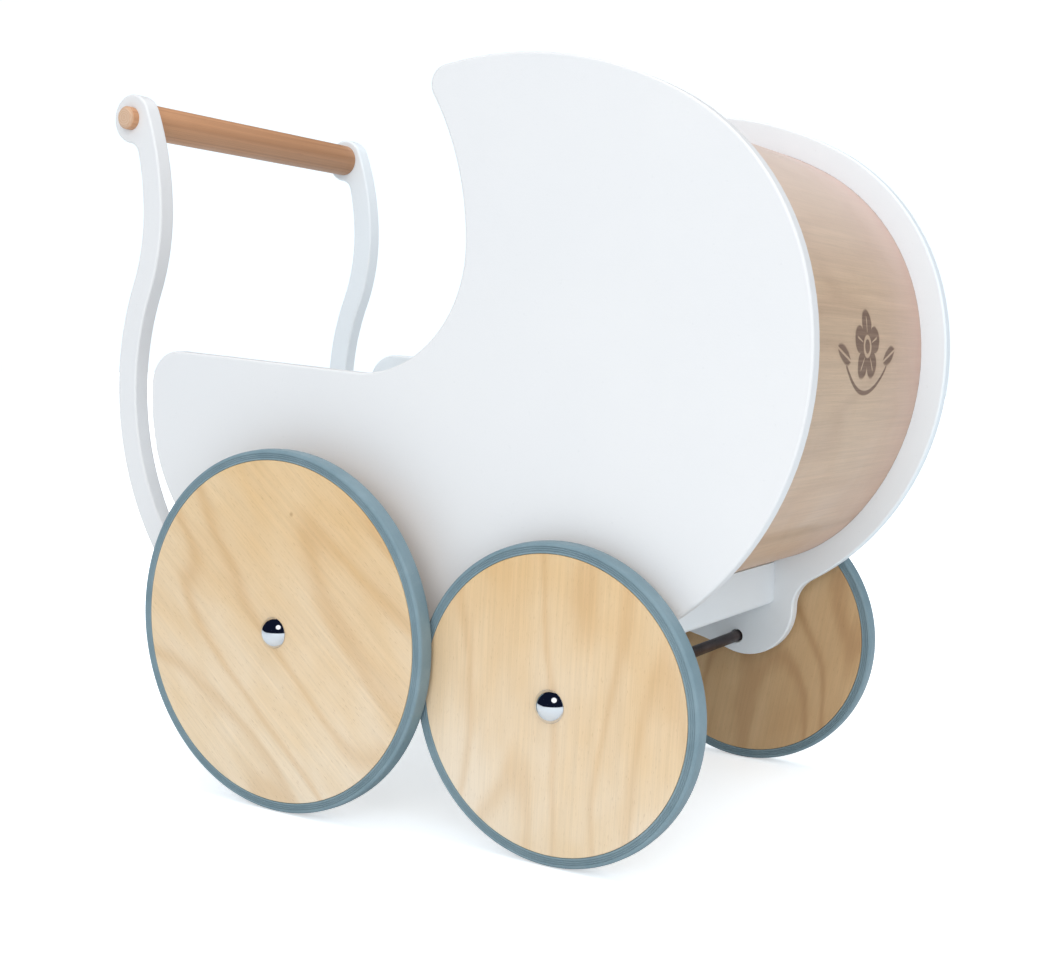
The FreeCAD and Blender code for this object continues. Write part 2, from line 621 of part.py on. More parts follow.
def panel_bush(point):
    """Flanged bush that lines a panel's axle hole, flange outside."""
    bore = AXLE_RADIUS + SLIP_CLEARANCE
    low = INNER_Y + BUSH_RECESS
    sleeve = tube(point, low, HALF_WIDTH, PANEL_BUSH_RADIUS)
    flange = tube(point, HALF_WIDTH, HALF_WIDTH + BUSH_FLANGE_THICKNESS, BUSH_FLANGE_RADIUS)
    bush = sleeve.fuse(flange).removeSplitter()
    return bush.cut(tube(point, low, HALF_WIDTH + BUSH_FLANGE_THICKNESS, bore))


def washer_levels(inner_y):
    high = inner_y - END_FLOAT
    return high - WASHER_THICKNESS, high


def washer(point, inner_y):
    low, high = washer_levels(inner_y)
    return tube(point, low, high, WASHER_RADIUS, AXLE_RADIUS + SLIP_CLEARANCE)


def spacer(point, inner_y):
    low = HALF_WIDTH + BUSH_FLANGE_THICKNESS
    return tube(point, low, washer_levels(inner_y)[0], SPACER_RADIUS,
                AXLE_RADIUS + SLIP_CLEARANCE)


# ---- Hidden joinery -----------------------------------------------------------
def arm_bolt(x):
    """Hexagon-socket bolt through the arm's foot into its insert."""
    point = (x, arm_foot_z())
    face = ARM_INNER_Y
    head = tube(point, face - BOLT_HEAD_HEIGHT, face, BOLT_HEAD_RADIUS)
    shank = tube(point, face, INNER_Y + INSERT_LENGTH, BOLT_RADIUS)
    bolt = head.fuse(shank).removeSplitter()
    across_corners = BOLT_SOCKET / math.sqrt(3)
    hexagon = [polar(point, across_corners, 60.0 * i) for i in range(6)]
    edges = [line(hexagon[i], hexagon[(i + 1) % 6]) for i in range(6)]
    low = face - BOLT_HEAD_HEIGHT
    return bolt.cut(plate(edges, low, low + BOLT_SOCKET_DEPTH))


def thread_insert(x):
    return tube((x, arm_foot_z()), INNER_Y, INNER_Y + INSERT_LENGTH, INSERT_RADIUS, BOLT_RADIUS)


def cam_bolt(point):
    """Screw in the panel with a pin that reaches to the middle of the cam."""
    screw = tube(point, INNER_Y, INNER_Y + CAM_SCREW_LENGTH, CAM_SCREW_RADIUS)
    pin = tube(point, INNER_Y - CAM_BOLT_REACH, INNER_Y, CAM_BOLT_RADIUS)
    return screw.fuse(pin).removeSplitter()


def cam_lock(point, inwards, depth):
    """Round cam with a driver slot and a bore for the bolt's pin."""
    cam = cam_space(point, inwards, depth, CAM_RADIUS, CAM_HEIGHT)
    cam = cam.cut(tube(point, INNER_Y - CAM_BOLT_REACH, INNER_Y,
                       CAM_BOLT_RADIUS + CAM_CLEARANCE))
    middle = at(point, INNER_Y - CAM_BOLT_REACH)
    direction = FreeCAD.Vector(inwards[0], 0, inwards[1])
    slot = Part.makeBox(2 * CAM_RADIUS, CAM_SLOT_WIDTH, CAM_SLOT_DEPTH,
                        FreeCAD.Vector(-CAM_RADIUS, -CAM_SLOT_WIDTH / 2, -CAM_SLOT_DEPTH))
    turn = FreeCAD.Rotation(FreeCAD.Vector(0, 0, 1), direction)
    slot.Placement = FreeCAD.Placement(middle + direction * (depth / 2), turn)
    return cam.cut(slot)


def wooden_pin(point):
    return tube(point, INNER_Y - PIN_IN_BOARD, INNER_Y + PIN_IN_PANEL, PIN_RADIUS)


# ---- The whole stroller -------------------------------------------------------
def build_body():
    panel = side_panel()
    save("left_side_panel", panel)
    save("right_side_panel", mirrored(panel))
    save("hood_shell", hood_shell())
    save("front_rail", front_rail())
    save("floor_board", floor_board())
    save("rear_board", rear_board())
    arm = handle_arm()
    save("left_handle_arm", arm)
    save("right_handle_arm", mirrored(arm))
    save("handle_bar", handle_bar())


def build_running_gear():
    axles = (("front", FRONT_AXLE, FRONT_WHEEL_Y, FRONT_WHEEL_RADIUS),
             ("rear", REAR_AXLE, REAR_WHEEL_Y, REAR_WHEEL_RADIUS))
    bushes = []
    washers = []
    for end, point, inner_y, radius in axles:
        save(end + "_axle", axle(point, inner_y))
        save(end + "_axle_spacers", both_sides([spacer(point, inner_y)]))
        bushes.append(panel_bush(point))
        washers.append(washer(point, inner_y))
        pieces = (("wheel_disc", wheel_disc(point, inner_y, radius)),
                  ("tyre", tyre(point, inner_y, radius)),
                  ("hub_bush", hub_bush(point, inner_y)),
                  ("axle_cap", axle_cap(point, inner_y)))
        for name, piece in pieces:
            save(end + "_left_" + name, piece)
            save(end + "_right_" + name, mirrored(piece))
    save("panel_bushes", both_sides(bushes))
    save("wheel_washers", both_sides(washers))


def build_joinery():
    cams, pins = joints_of_boards()
    save("arm_bolts", both_sides([arm_bolt(x) for x in ARM_BOLT_X]))
    save("arm_thread_inserts", both_sides([thread_insert(x) for x in ARM_BOLT_X]))
    save("cam_bolts", both_sides([cam_bolt(cam[0]) for cam in cams]))
    save("cam_locks", both_sides([cam_lock(*cam) for cam in cams]))
    save("wooden_pins", both_sides([wooden_pin(point) for point in pins]))


build_body()
build_running_gear()
build_joinery()

whole = Part.makeCompound(list(PIECES.values())).optimalBoundingBox()
shift = FreeCAD.Vector(-(whole.XMin + whole.XMax) / 2, 0, 0)
os.makedirs("parts", exist_ok=True)
for node, piece in PIECES.items():
    piece.translate(shift)
    piece.exportStep(os.path.join("parts", node + ".step"))
print(len(PIECES), "nodes;", "rear axle at x", round(shift.x, 3))
print("box", round(whole.XLength, 2), round(whole.YLength, 2), round(whole.ZLength, 2))
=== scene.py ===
# %% [markdown]
# # Wooden doll stroller
# A small wooden pram for dolls: two white lacquered plywood sides with a crescent
# hood, a bent plywood shell between them, a beech handle, and four plywood wheels
# with grey rubber tyres.  The CAD model gives every size; here the pieces get
# their finish, and those that carry fine detail are modelled again.

# %% Load the frame
import math

import bmesh
import bpy
from mathutils import Matrix, Vector


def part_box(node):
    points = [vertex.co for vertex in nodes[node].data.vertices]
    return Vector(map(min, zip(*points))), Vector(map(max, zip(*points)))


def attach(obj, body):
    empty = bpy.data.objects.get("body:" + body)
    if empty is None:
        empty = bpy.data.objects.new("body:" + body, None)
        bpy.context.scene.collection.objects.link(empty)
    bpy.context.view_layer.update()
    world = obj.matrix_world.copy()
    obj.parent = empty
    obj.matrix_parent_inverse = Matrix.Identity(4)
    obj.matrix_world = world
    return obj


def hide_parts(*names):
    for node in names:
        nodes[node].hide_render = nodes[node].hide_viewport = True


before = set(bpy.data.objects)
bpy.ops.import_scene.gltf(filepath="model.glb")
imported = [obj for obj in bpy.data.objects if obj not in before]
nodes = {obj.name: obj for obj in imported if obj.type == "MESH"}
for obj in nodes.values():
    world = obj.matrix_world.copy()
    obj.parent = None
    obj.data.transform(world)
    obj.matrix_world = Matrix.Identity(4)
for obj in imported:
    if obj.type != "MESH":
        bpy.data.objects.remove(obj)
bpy.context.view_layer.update()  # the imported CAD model, at rest, in metres

# %% [markdown]
# ## Helpers for shader nodes
# A material is a chain of small nodes.  Three helpers keep the chains readable:
# one adds a node with its settings, its values and its links in a single call, one
# opens a new material, and one opens a node group, which is a finish that several
# materials share.

# %% Shader helpers
def add(tree, kind, inputs=None, **settings):
    """Adds a node; an input is a number, a colour, or the output of another node."""
    made = tree.nodes.new("ShaderNode" + kind)
    for name, value in settings.items():
        setattr(made, name, value)
    for name, value in (inputs or {}).items():
        if isinstance(value, bpy.types.NodeSocket):
            tree.links.new(value, made.inputs[name])
        else:
            made.inputs[name].default_value = value
    return made


def maths(tree, operation, *values):
    """One step of arithmetic on numbers or sockets."""
    return add(tree, "Math", dict(enumerate(values)), operation=operation).outputs[0]


def remap(tree, value, low, high, to_low=0.0, to_high=1.0):
    """Stretches low..high of a value to a new range, cut off at both ends."""
    inputs = {"Value": value, "From Min": low, "From Max": high,
              "To Min": to_low, "To Max": to_high}
    return add(tree, "MapRange", inputs).outputs["Result"]


def mix(tree, share, first, second, how="MIX"):
    """Mixes two colours by a share between 0 and 1."""
    made = add(tree, "Mix", data_type="RGBA", blend_type=how)
    colour_sockets = {"Factor": 0, "A": 6, "B": 7}
    for name, value in (("Factor", share), ("A", first), ("B", second)):
        socket = made.inputs[colour_sockets[name]]
        if isinstance(value, bpy.types.NodeSocket):
            tree.links.new(value, socket)
        else:
            socket.default_value = value
    return made.outputs[2]


def place(tree, vector, turn=(0.0, 0.0, 0.0), scale=(1.0, 1.0, 1.0), shift=(0.0, 0.0, 0.0)):
    """Moves, turns and scales the coordinates that a pattern is drawn in."""
    inputs = {"Vector": vector, "Location": shift, "Rotation": turn, "Scale": scale}
    return add(tree, "Mapping", inputs).outputs["Vector"]


def noise(tree, vector, scale, detail=2.0, roughness=0.5, distortion=0.0):
    inputs = {"Vector": vector, "Scale": scale, "Detail": detail,
              "Roughness": roughness, "Distortion": distortion}
    return add(tree, "TexNoise", inputs).outputs["Fac"]


def new_material(name):
    """An empty material with its Principled shader, and its object coordinates."""
    material = bpy.data.materials.new(name)
    material.use_nodes = True
    tree = material.node_tree
    shader = tree.nodes["Principled BSDF"]
    return material, tree, shader, add(tree, "TexCoord").outputs["Object"]


def feed(tree, shader, **inputs):
    """Sets or links inputs of the shader, named with underscores for spaces."""
    for name, value in inputs.items():
        socket = shader.inputs[name.replace("_", " ")]
        if isinstance(value, bpy.types.NodeSocket):
            tree.links.new(value, socket)
        else:
            socket.default_value = value


def bump(tree, height, distance, strength):
    inputs = {"Height": height, "Distance": distance, "Strength": strength}
    return add(tree, "Bump", inputs).outputs["Normal"]


def shade_by(tree, colour, brightness):
    """Multiplies a colour by a brightness that varies over the surface."""
    grey = add(tree, "CombineColor", {0: brightness, 1: brightness, 2: brightness}).outputs[0]
    return mix(tree, 1.0, colour, grey, "MULTIPLY")


def new_group(name, inputs, outputs):
    """Opens a shader node group; returns its tree, its inputs and its outputs."""
    tree = bpy.data.node_groups.new(name, "ShaderNodeTree")
    for label, kind, value in inputs:
        socket = tree.interface.new_socket(label, in_out="INPUT", socket_type="NodeSocket" + kind)
        if value is not None:
            socket.default_value = value
    for label, kind in outputs:
        tree.interface.new_socket(label, in_out="OUTPUT", socket_type="NodeSocket" + kind)
    enter = tree.nodes.new("NodeGroupInput")
    leave = tree.nodes.new("NodeGroupOutput")
    return tree, enter.outputs, leave.inputs


def use_group(tree, name, **inputs):
    """Places a node group in a tree and returns its outputs."""
    made = tree.nodes.new("ShaderNodeGroup")
    made.node_tree = bpy.data.node_groups[name]
    for label, value in inputs.items():
        socket = made.inputs[label.replace("_", " ")]
        if isinstance(value, bpy.types.NodeSocket):
            tree.links.new(value, socket)
        else:
            socket.default_value = value
    return made.outputs


print("shader helpers ready")

# %% [markdown]
# ## Wood grain
# Veneer is cut round the log, so it shows three things at once: broad tongues
# where the knife crosses the year rings at a shallow angle, fine fibres that run
# the length of the sheet, and short dark pores.  The tongues are drawn as contour
# lines of a smooth noise that is stretched along the grain, just as a map draws
# the contours of a long hill.  All of it is one group, so that each piece of wood
# differs only in direction, spacing and colour.  The grain runs along the
# vector's X.

# %% Wood grain group
def build_wood_grain():
    tree, given, out = new_group(
        "Wood grain",
        [("Vector", "Vector", None), ("Rings", "Float", 9.0), ("Seed", "Float", 0.0)],
        [("Figure", "Float"), ("Fibre", "Float"), ("Pores", "Float"), ("Clouds", "Float")])
    shift = add(tree, "CombineXYZ", {"X": given["Seed"], "Y": given["Seed"], "Z": given["Seed"]})
    moved = add(tree, "VectorMath", {0: given["Vector"], 1: shift.outputs["Vector"]}).outputs[0]

    hill = noise(tree, place(tree, moved, scale=(3.4, 11.0, 11.0)), 1.0, 1.5, 0.45)
    ripple = noise(tree, place(tree, moved, scale=(30.0, 110.0, 110.0)), 1.0, 2.0)
    height = maths(tree, "MULTIPLY_ADD", ripple, 0.022, hill)
    rings = maths(tree, "MULTIPLY", maths(tree, "MULTIPLY", height, given["Rings"]), 6.2832)
    wave = maths(tree, "MULTIPLY_ADD", maths(tree, "SINE", rings), 0.5, 0.5)
    tree.links.new(maths(tree, "POWER", wave, 4.0), out["Figure"])

    fine = noise(tree, place(tree, moved, scale=(22.0, 1500.0, 1500.0)), 1.0, 3.0, 0.65)
    coarse = noise(tree, place(tree, moved, scale=(9.0, 420.0, 420.0)), 1.0, 3.0, 0.6)
    fibre = maths(tree, "ADD", maths(tree, "MULTIPLY", fine, 0.5),
                  maths(tree, "MULTIPLY", coarse, 0.5))
    tree.links.new(remap(tree, fibre, 0.3, 0.7), out["Fibre"])

    flecks = noise(tree, place(tree, moved, scale=(210.0, 2600.0, 2600.0)), 1.0, 1.0)
    tree.links.new(remap(tree, flecks, 0.66, 0.76), out["Pores"])
    clouds = noise(tree, place(tree, moved, scale=(9.0, 17.0, 17.0)), 1.0, 3.0, 0.55)
    tree.links.new(remap(tree, clouds, 0.36, 0.66), out["Clouds"])


build_wood_grain()
print("Wood grain group made")

# %% [markdown]
# ## Paint film and handling marks
# Sprayed lacquer is never quite flat: it has a faint orange peel, a trace of the
# grain below, and patches where a cloth or a hand has changed the gloss.  Along
# rounded edges the film is thinner and more polished.  The edge mask comes from
# the surface direction in the object's own axes: a board's faces point along Y
# and its edges don't, so the rounding between them is where the Y part of the
# direction is neither nearly one nor nearly nothing.

# %% Paint film and handling groups
def build_paint_film():
    tree, given, out = new_group(
        "Paint film",
        [("Vector", "Vector", None), ("Peel Size", "Float", 900.0)],
        [("Peel", "Float"), ("Mottle", "Float"), ("Specks", "Float")])
    peel = noise(tree, given["Vector"], 1.0, 2.0)
    tree.links.new(given["Peel Size"], peel.node.inputs["Scale"])
    sunk = noise(tree, place(tree, given["Vector"], scale=(60.0, 900.0, 900.0)), 1.0, 2.0)
    tree.links.new(maths(tree, "MULTIPLY_ADD", sunk, 0.45, peel), out["Peel"])
    mottle = noise(tree, given["Vector"], 9.0, 3.0, 0.6)
    tree.links.new(remap(tree, mottle, 0.3, 0.7), out["Mottle"])
    specks = noise(tree, given["Vector"], 420.0, 1.0)
    tree.links.new(remap(tree, specks, 0.74, 0.8), out["Specks"])


def build_board_edge():
    tree, given, out = new_group(
        "Board edge",
        [("Normal", "Vector", None), ("Vector", "Vector", None)],
        [("Rim", "Float"), ("Wear", "Float")])
    parts = add(tree, "SeparateXYZ", {"Vector": given["Normal"]}).outputs
    facing = maths(tree, "ABSOLUTE", parts["Y"])
    rising = remap(tree, facing, 0.98, 0.8)
    falling = remap(tree, facing, 0.25, 0.6)
    rim = maths(tree, "MULTIPLY", rising, falling)
    patches = remap(tree, noise(tree, given["Vector"], 55.0, 4.0, 0.65), 0.54, 0.72)
    tree.links.new(rim, out["Rim"])
    tree.links.new(maths(tree, "MULTIPLY", rim, patches), out["Wear"])


def build_handling():
    tree, given, out = new_group(
        "Handling",
        [("Vector", "Vector", None)],
        [("Smudges", "Float"), ("Scratches", "Float"), ("Dust", "Float")])
    smudges = noise(tree, given["Vector"], 24.0, 5.0, 0.62, 0.6)
    tree.links.new(remap(tree, smudges, 0.42, 0.68), out["Smudges"])
    turned = place(tree, given["Vector"], turn=(0.4, 0.9, 0.5), scale=(30.0, 2200.0, 2200.0))
    hairs = noise(tree, turned, 1.0, 2.0)
    tree.links.new(remap(tree, hairs, 0.7, 0.78), out["Scratches"])
    dust = noise(tree, given["Vector"], 1800.0, 1.0)
    tree.links.new(remap(tree, dust, 0.7, 0.78), out["Dust"])


build_paint_film()
build_board_edge()
build_handling()
print("Paint film, Board edge and Handling groups made")

# %% [markdown]
# ## White lacquered board
# The two sides, the arms, the rail, the floor and the rear board are birch plywood under a satin
# white lacquer.  The white comes in two copies: a less blue one with painted light on the right side
# and its arm, and a bluer one with painted shade on the other boards.  The rounded edges catch more
# light, and here and there at a rim the film has worn so thin that the wood begins to show through.

# %% White lacquer material
# Two copies of one white: the first is painted shade for the boards in shade, the second painted
# light for the lit right side.
PAINTED_SHADE_WHITE = ((0.828, 0.856, 0.878, 1.0), (0.802, 0.836, 0.864, 1.0))
PAINTED_LIGHT_WHITE = ((0.784, 0.768, 0.766, 1.0), (0.758, 0.748, 0.754, 1.0))
THIN_PAINT = (0.86, 0.80, 0.70, 1.0)


def white_lacquer(name, tones):
    """Satin lacquer; the tones are its white and the white of its mottled patches."""
    material, tree, shader, place_here = new_material(name)
    film = use_group(tree, "Paint film", Vector=place_here)
    marks = use_group(tree, "Handling", Vector=place_here)
    normal = add(tree, "TexCoord").outputs["Normal"]
    edge = use_group(tree, "Board edge", Normal=normal, Vector=place_here)

    coat = mix(tree, maths(tree, "MULTIPLY", film["Mottle"], 0.55), *tones)
    worn = mix(tree, maths(tree, "MULTIPLY", edge["Wear"], 0.30), coat, THIN_PAINT)
    dusty = mix(tree, maths(tree, "MULTIPLY", film["Specks"], 0.10), worn, (0.5, 0.5, 0.5, 1.0))
    gloss = maths(tree, "MULTIPLY_ADD", marks["Smudges"], 0.10, 0.36)
    gloss = maths(tree, "MULTIPLY_ADD", edge["Rim"], -0.08, gloss)
    height = maths(tree, "MULTIPLY_ADD", marks["Scratches"], -0.25, film["Peel"])
    feed(tree, shader, Base_Color=dusty, Roughness=gloss, IOR=1.48,
         Normal=bump(tree, height, 0.00006, 0.6))
    return material


# Painted shade and painted light: the bluer copy goes on the boards in shade, the less blue one on
# the lit right side and its arm.
painted_shade_lacquer = white_lacquer("painted_shade_white_lacquer", PAINTED_SHADE_WHITE)
painted_light_lacquer = white_lacquer("painted_light_white_lacquer", PAINTED_LIGHT_WHITE)
BOARDS = {
    "left_side_panel": painted_shade_lacquer, "left_handle_arm": painted_shade_lacquer, "front_rail": painted_shade_lacquer,
    "rear_board": painted_shade_lacquer, "floor_board": painted_shade_lacquer,
    "right_side_panel": painted_light_lacquer, "right_handle_arm": painted_light_lacquer,
}
for name, finish in BOARDS.items():
    nodes[name].data.materials.clear()
    nodes[name].data.materials.append(finish)
print("lacquer on", len(BOARDS), "boards")

# %% [markdown]
# ## Clear varnished veneer
# Each wheel is cut from a larger sheet wherever it fits, so no two wheels carry the same figure, and
# their grain runs in different directions.  One function makes the varnished birch, and each wheel
# gets its own direction and its own place on the sheet.  The colour goes from pale sapwood to warm
# rings, with fibres and pores on top.  A tint paints shade above the axle, darker and more golden,
# and paints light below it, paler; the far front wheel takes a darker copy of the birch, which is
# painted shade.  The grain drawing also lifts the surface a few hundredths of a millimetre under the
# varnish.

# %% Varnished birch material
PALE_BIRCH = ((0.800, 0.635, 0.430, 1.0), (0.630, 0.400, 0.190, 1.0), (0.745, 0.525, 0.285, 1.0))
# A darker copy of the birch for the far front wheel: painted shade.
PAINTED_SHADE_BIRCH = ((0.640, 0.435, 0.240, 1.0), (0.390, 0.210, 0.092, 1.0), (0.545, 0.340, 0.168, 1.0))
PORE_BROWN = (0.330, 0.185, 0.090, 1.0)
KNOT_BROWN = (0.330, 0.170, 0.070, 1.0)
PAINTED_LIGHT_BELOW = (1.04, 1.11, 1.30, 1.0)
PAINTED_SHADE_ABOVE = (0.93, 0.84, 0.72, 1.0)
PAINTED_LIGHT_HALF = 0.075                 # half the height over which the painted light below becomes the painted shade above
KNOT_RIM = 0.0019                 # radius where a knot fades out
KNOT_HEART = 0.0005               # and where it is darkest


def varnished_birch(name, axis_z, grain_angle, seed, rings, tones, figure_share, painted_light_share, knot):
    """Birch veneer in the wheel's plane; the angle is from level, upwards to the front.

    Painted light share is the share of the tint: painted shade that makes the wood darker
    and warmer above the axle, and painted light that makes it paler below it.  The knot is a
    point on the face, or None.
    """
    sapwood, ring_wood, cloud_wood = tones
    material, tree, shader, place_here = new_material(name)
    turned_to_grain = place(tree, place_here, turn=(0.0, math.radians(grain_angle), 0.0))
    grain = use_group(tree, "Wood grain", Vector=turned_to_grain, Rings=rings, Seed=seed)
    marks = use_group(tree, "Handling", Vector=place_here)

    wood = mix(tree, maths(tree, "MULTIPLY", grain["Clouds"], 0.90), sapwood, cloud_wood)
    wood = mix(tree, maths(tree, "MULTIPLY", grain["Figure"], figure_share), wood, ring_wood)
    wood = shade_by(tree, wood, remap(tree, grain["Fibre"], 0.0, 1.0, 0.90, 1.06))
    # Painted shade above the axle and painted light below it, as a share of the tint.
    rise = add(tree, "SeparateXYZ", {"Vector": place_here}).outputs["Z"]
    rise = remap(tree, rise, axis_z - PAINTED_LIGHT_HALF, axis_z + PAINTED_LIGHT_HALF)
    wood = mix(tree, painted_light_share, wood, mix(tree, rise, PAINTED_LIGHT_BELOW, PAINTED_SHADE_ABOVE), "MULTIPLY")
    wood = mix(tree, maths(tree, "MULTIPLY", grain["Pores"], 0.45), wood, PORE_BROWN)
    if knot:
        away = add(tree, "VectorMath", {0: place_here, 1: knot}, operation="DISTANCE")
        spot = remap(tree, away.outputs["Value"], KNOT_RIM, KNOT_HEART)
        wood = mix(tree, maths(tree, "MULTIPLY", spot, 0.50), wood, KNOT_BROWN)
    gloss = maths(tree, "MULTIPLY_ADD", marks["Smudges"], 0.12, 0.38)
    gloss = maths(tree, "MULTIPLY_ADD", grain["Pores"], 0.15, gloss)
    height = maths(tree, "MULTIPLY_ADD", grain["Pores"], -0.6, grain["Fibre"])
    feed(tree, shader, Base_Color=wood, Roughness=gloss, IOR=1.45,
         Normal=bump(tree, height, 0.00005, 0.5))
    return material


print("varnished birch ready for four wheels")

# %% [markdown]
# ## Bent hood plywood
# The hood shell is five thin veneers glued over a mould, with the outer grain
# across the pram so that the sheet can bend.  Its two ends are cut square, and
# there the plies show as light and dark lines.  The mesh carries an attribute
# called depth, 0 on the outer face and 1 on the inner one, which tells the
# material how deep in the sheet a point lies.  A flower between two leaves is
# burned into the front of the hood: the iron leaves it dark brown, with a paler,
# toasted halo.

# %% Burned garland group
RIM_LOW, RIM_RISE = 0.52, 0.42    # radius of the flower between its petals, and what they add
HEART = 0.24                      # radius of the pale ring round its heart
SOFTNESS = 0.03                   # half the width over which an inked edge fades
LEAF_AT = 1.70                    # middle of a leaf, to each side of the flower
LEAF_DROP = 0.22                  # and below the flower's middle
LEAF_TILT = 0.35                  # how steeply a leaf rises outwards
LEAF_ROUND, LEAF_BOW = 0.66, 0.44     # radius of a leaf's two bows, and their centres' offset
STEM_LOW, STEM_BEND = -1.20, 0.30     # lowest point of the stem, and how fast it curves up
STEM_END = 1.54                   # where the stem meets the leaves


def build_burned_garland():
    """A flower of unit radius with a leaf on each side, drawn in Y and Z."""
    tree, given, out = new_group(
        "Burned garland",
        [("Vector", "Vector", None), ("Petals", "Float", 5.0)],
        [("Ink", "Float"), ("Halo", "Float")])
    unsteady = noise(tree, given["Vector"], 3.0, 3.0)
    wobble = maths(tree, "MULTIPLY_ADD", unsteady, 0.10, -0.05)
    parts = add(tree, "SeparateXYZ", {"Vector": given["Vector"]}).outputs
    across, up = parts["Y"], parts["Z"]

    def length(first, second):
        squares = maths(tree, "ADD", maths(tree, "MULTIPLY", first, first),
                        maths(tree, "MULTIPLY", second, second))
        return maths(tree, "SQRT", squares)

    radius = length(across, up)
    turn = maths(tree, "ARCTAN2", across, up)
    swing = maths(tree, "MULTIPLY", maths(tree, "MULTIPLY", turn, given["Petals"]), 0.5)
    lobe = maths(tree, "ABSOLUTE", maths(tree, "COSINE", swing))
    rim = maths(tree, "MULTIPLY_ADD", maths(tree, "POWER", lobe, 0.6), RIM_RISE, RIM_LOW)
    past_rim = maths(tree, "ADD", maths(tree, "SUBTRACT", radius, rim), wobble)
    flower = remap(tree, past_rim, SOFTNESS, -SOFTNESS)
    vein = maths(tree, "ABSOLUTE", maths(tree, "SINE", swing))
    vein = maths(tree, "MULTIPLY", remap(tree, vein, 0.13, 0.07),
                 maths(tree, "MULTIPLY", remap(tree, radius, 0.34, 0.40),
                       remap(tree, radius, 0.80, 0.70)))
    from_heart = maths(tree, "ABSOLUTE", maths(tree, "SUBTRACT", radius, HEART))
    ring = remap(tree, from_heart, 0.07, 0.04)
    flower = maths(tree, "MULTIPLY", flower, maths(tree, "SUBTRACT", 1.0, vein))
    flower = maths(tree, "MULTIPLY", flower, maths(tree, "SUBTRACT", 1.0, ring))

    along = maths(tree, "SUBTRACT", maths(tree, "ABSOLUTE", across), LEAF_AT)
    lift = maths(tree, "MULTIPLY_ADD", along, -LEAF_TILT, maths(tree, "ADD", up, LEAF_DROP))
    leaf = maths(tree, "MAXIMUM", length(along, maths(tree, "ADD", lift, LEAF_BOW)),
                 length(along, maths(tree, "SUBTRACT", lift, LEAF_BOW)))
    past_leaf = maths(tree, "ADD", maths(tree, "SUBTRACT", leaf, LEAF_ROUND), wobble)
    midrib = remap(tree, maths(tree, "ABSOLUTE", lift), 0.045, 0.02)
    leaves = maths(tree, "MULTIPLY", remap(tree, past_leaf, SOFTNESS, -SOFTNESS),
                   maths(tree, "SUBTRACT", 1.0, midrib))

    curve = maths(tree, "MULTIPLY_ADD", maths(tree, "MULTIPLY", across, across),
                  STEM_BEND, STEM_LOW)
    stem = maths(tree, "ABSOLUTE", maths(tree, "SUBTRACT", up, curve))
    stem = maths(tree, "MULTIPLY", remap(tree, stem, 0.075, 0.045),
                 remap(tree, maths(tree, "ABSOLUTE", across),
                       STEM_END + 0.04, STEM_END - 0.04))
    ink = maths(tree, "MAXIMUM", flower, maths(tree, "MAXIMUM", leaves, stem))
    tree.links.new(ink, out["Ink"])
    nearest = maths(tree, "MINIMUM", past_rim, past_leaf)
    tree.links.new(remap(tree, nearest, 0.22, 0.0), out["Halo"])


build_burned_garland()
print("Burned garland group made")

# %% Hood plywood material
HOOD_LIGHT = (0.595, 0.424, 0.292, 1.0)
HOOD_RING = (0.490, 0.330, 0.225, 1.0)
# Painted light on the top of the hood:
HOOD_PAINTED_LIGHT = (0.800, 0.660, 0.590, 1.0)
# Painted shade, darker and rosy, towards the left edge of the hood:
HOOD_PAINTED_SHADE = (0.545, 0.345, 0.292, 1.0)
HOOD_TOE = (0.690, 0.440, 0.292, 1.0)
PLY_DARK = (0.360, 0.235, 0.150, 1.0)
# Dark brown of the glue lines between the plies, also used for the painted shade line beside the
# panels.
GLUE_AND_SEAM_SHADE = (0.150, 0.090, 0.060, 1.0)
BURN_BROWN = (0.150, 0.085, 0.060, 1.0)
HALO_BROWN = (0.420, 0.270, 0.180, 1.0)
PLIES = 5.0
GARLAND_AT = Vector((0.246, 0.008, 0.306))
GARLAND_UNIT = 0.0235             # radius of its flower
TOE_FROM, TOE_TO = 0.26, 0.165    # heights between which the wood takes the toe's tone
PAINTED_LIGHT_FROM, PAINTED_LIGHT_TO = 0.34, 0.43   # and the painted light on the top
PAINTED_SHADE_TO = 0.116                   # from the middle to the left edge, where the rosy painted shade is strongest
SEAM_SHADE_OUT, SEAM_SHADE_IN = 0.0008, 0.0020    # painted shade line beside the panels, from the shell's edge
OUTSIDE, INSIDE = 0.02, 0.98      # depths of the two faces, within the easing of the edges


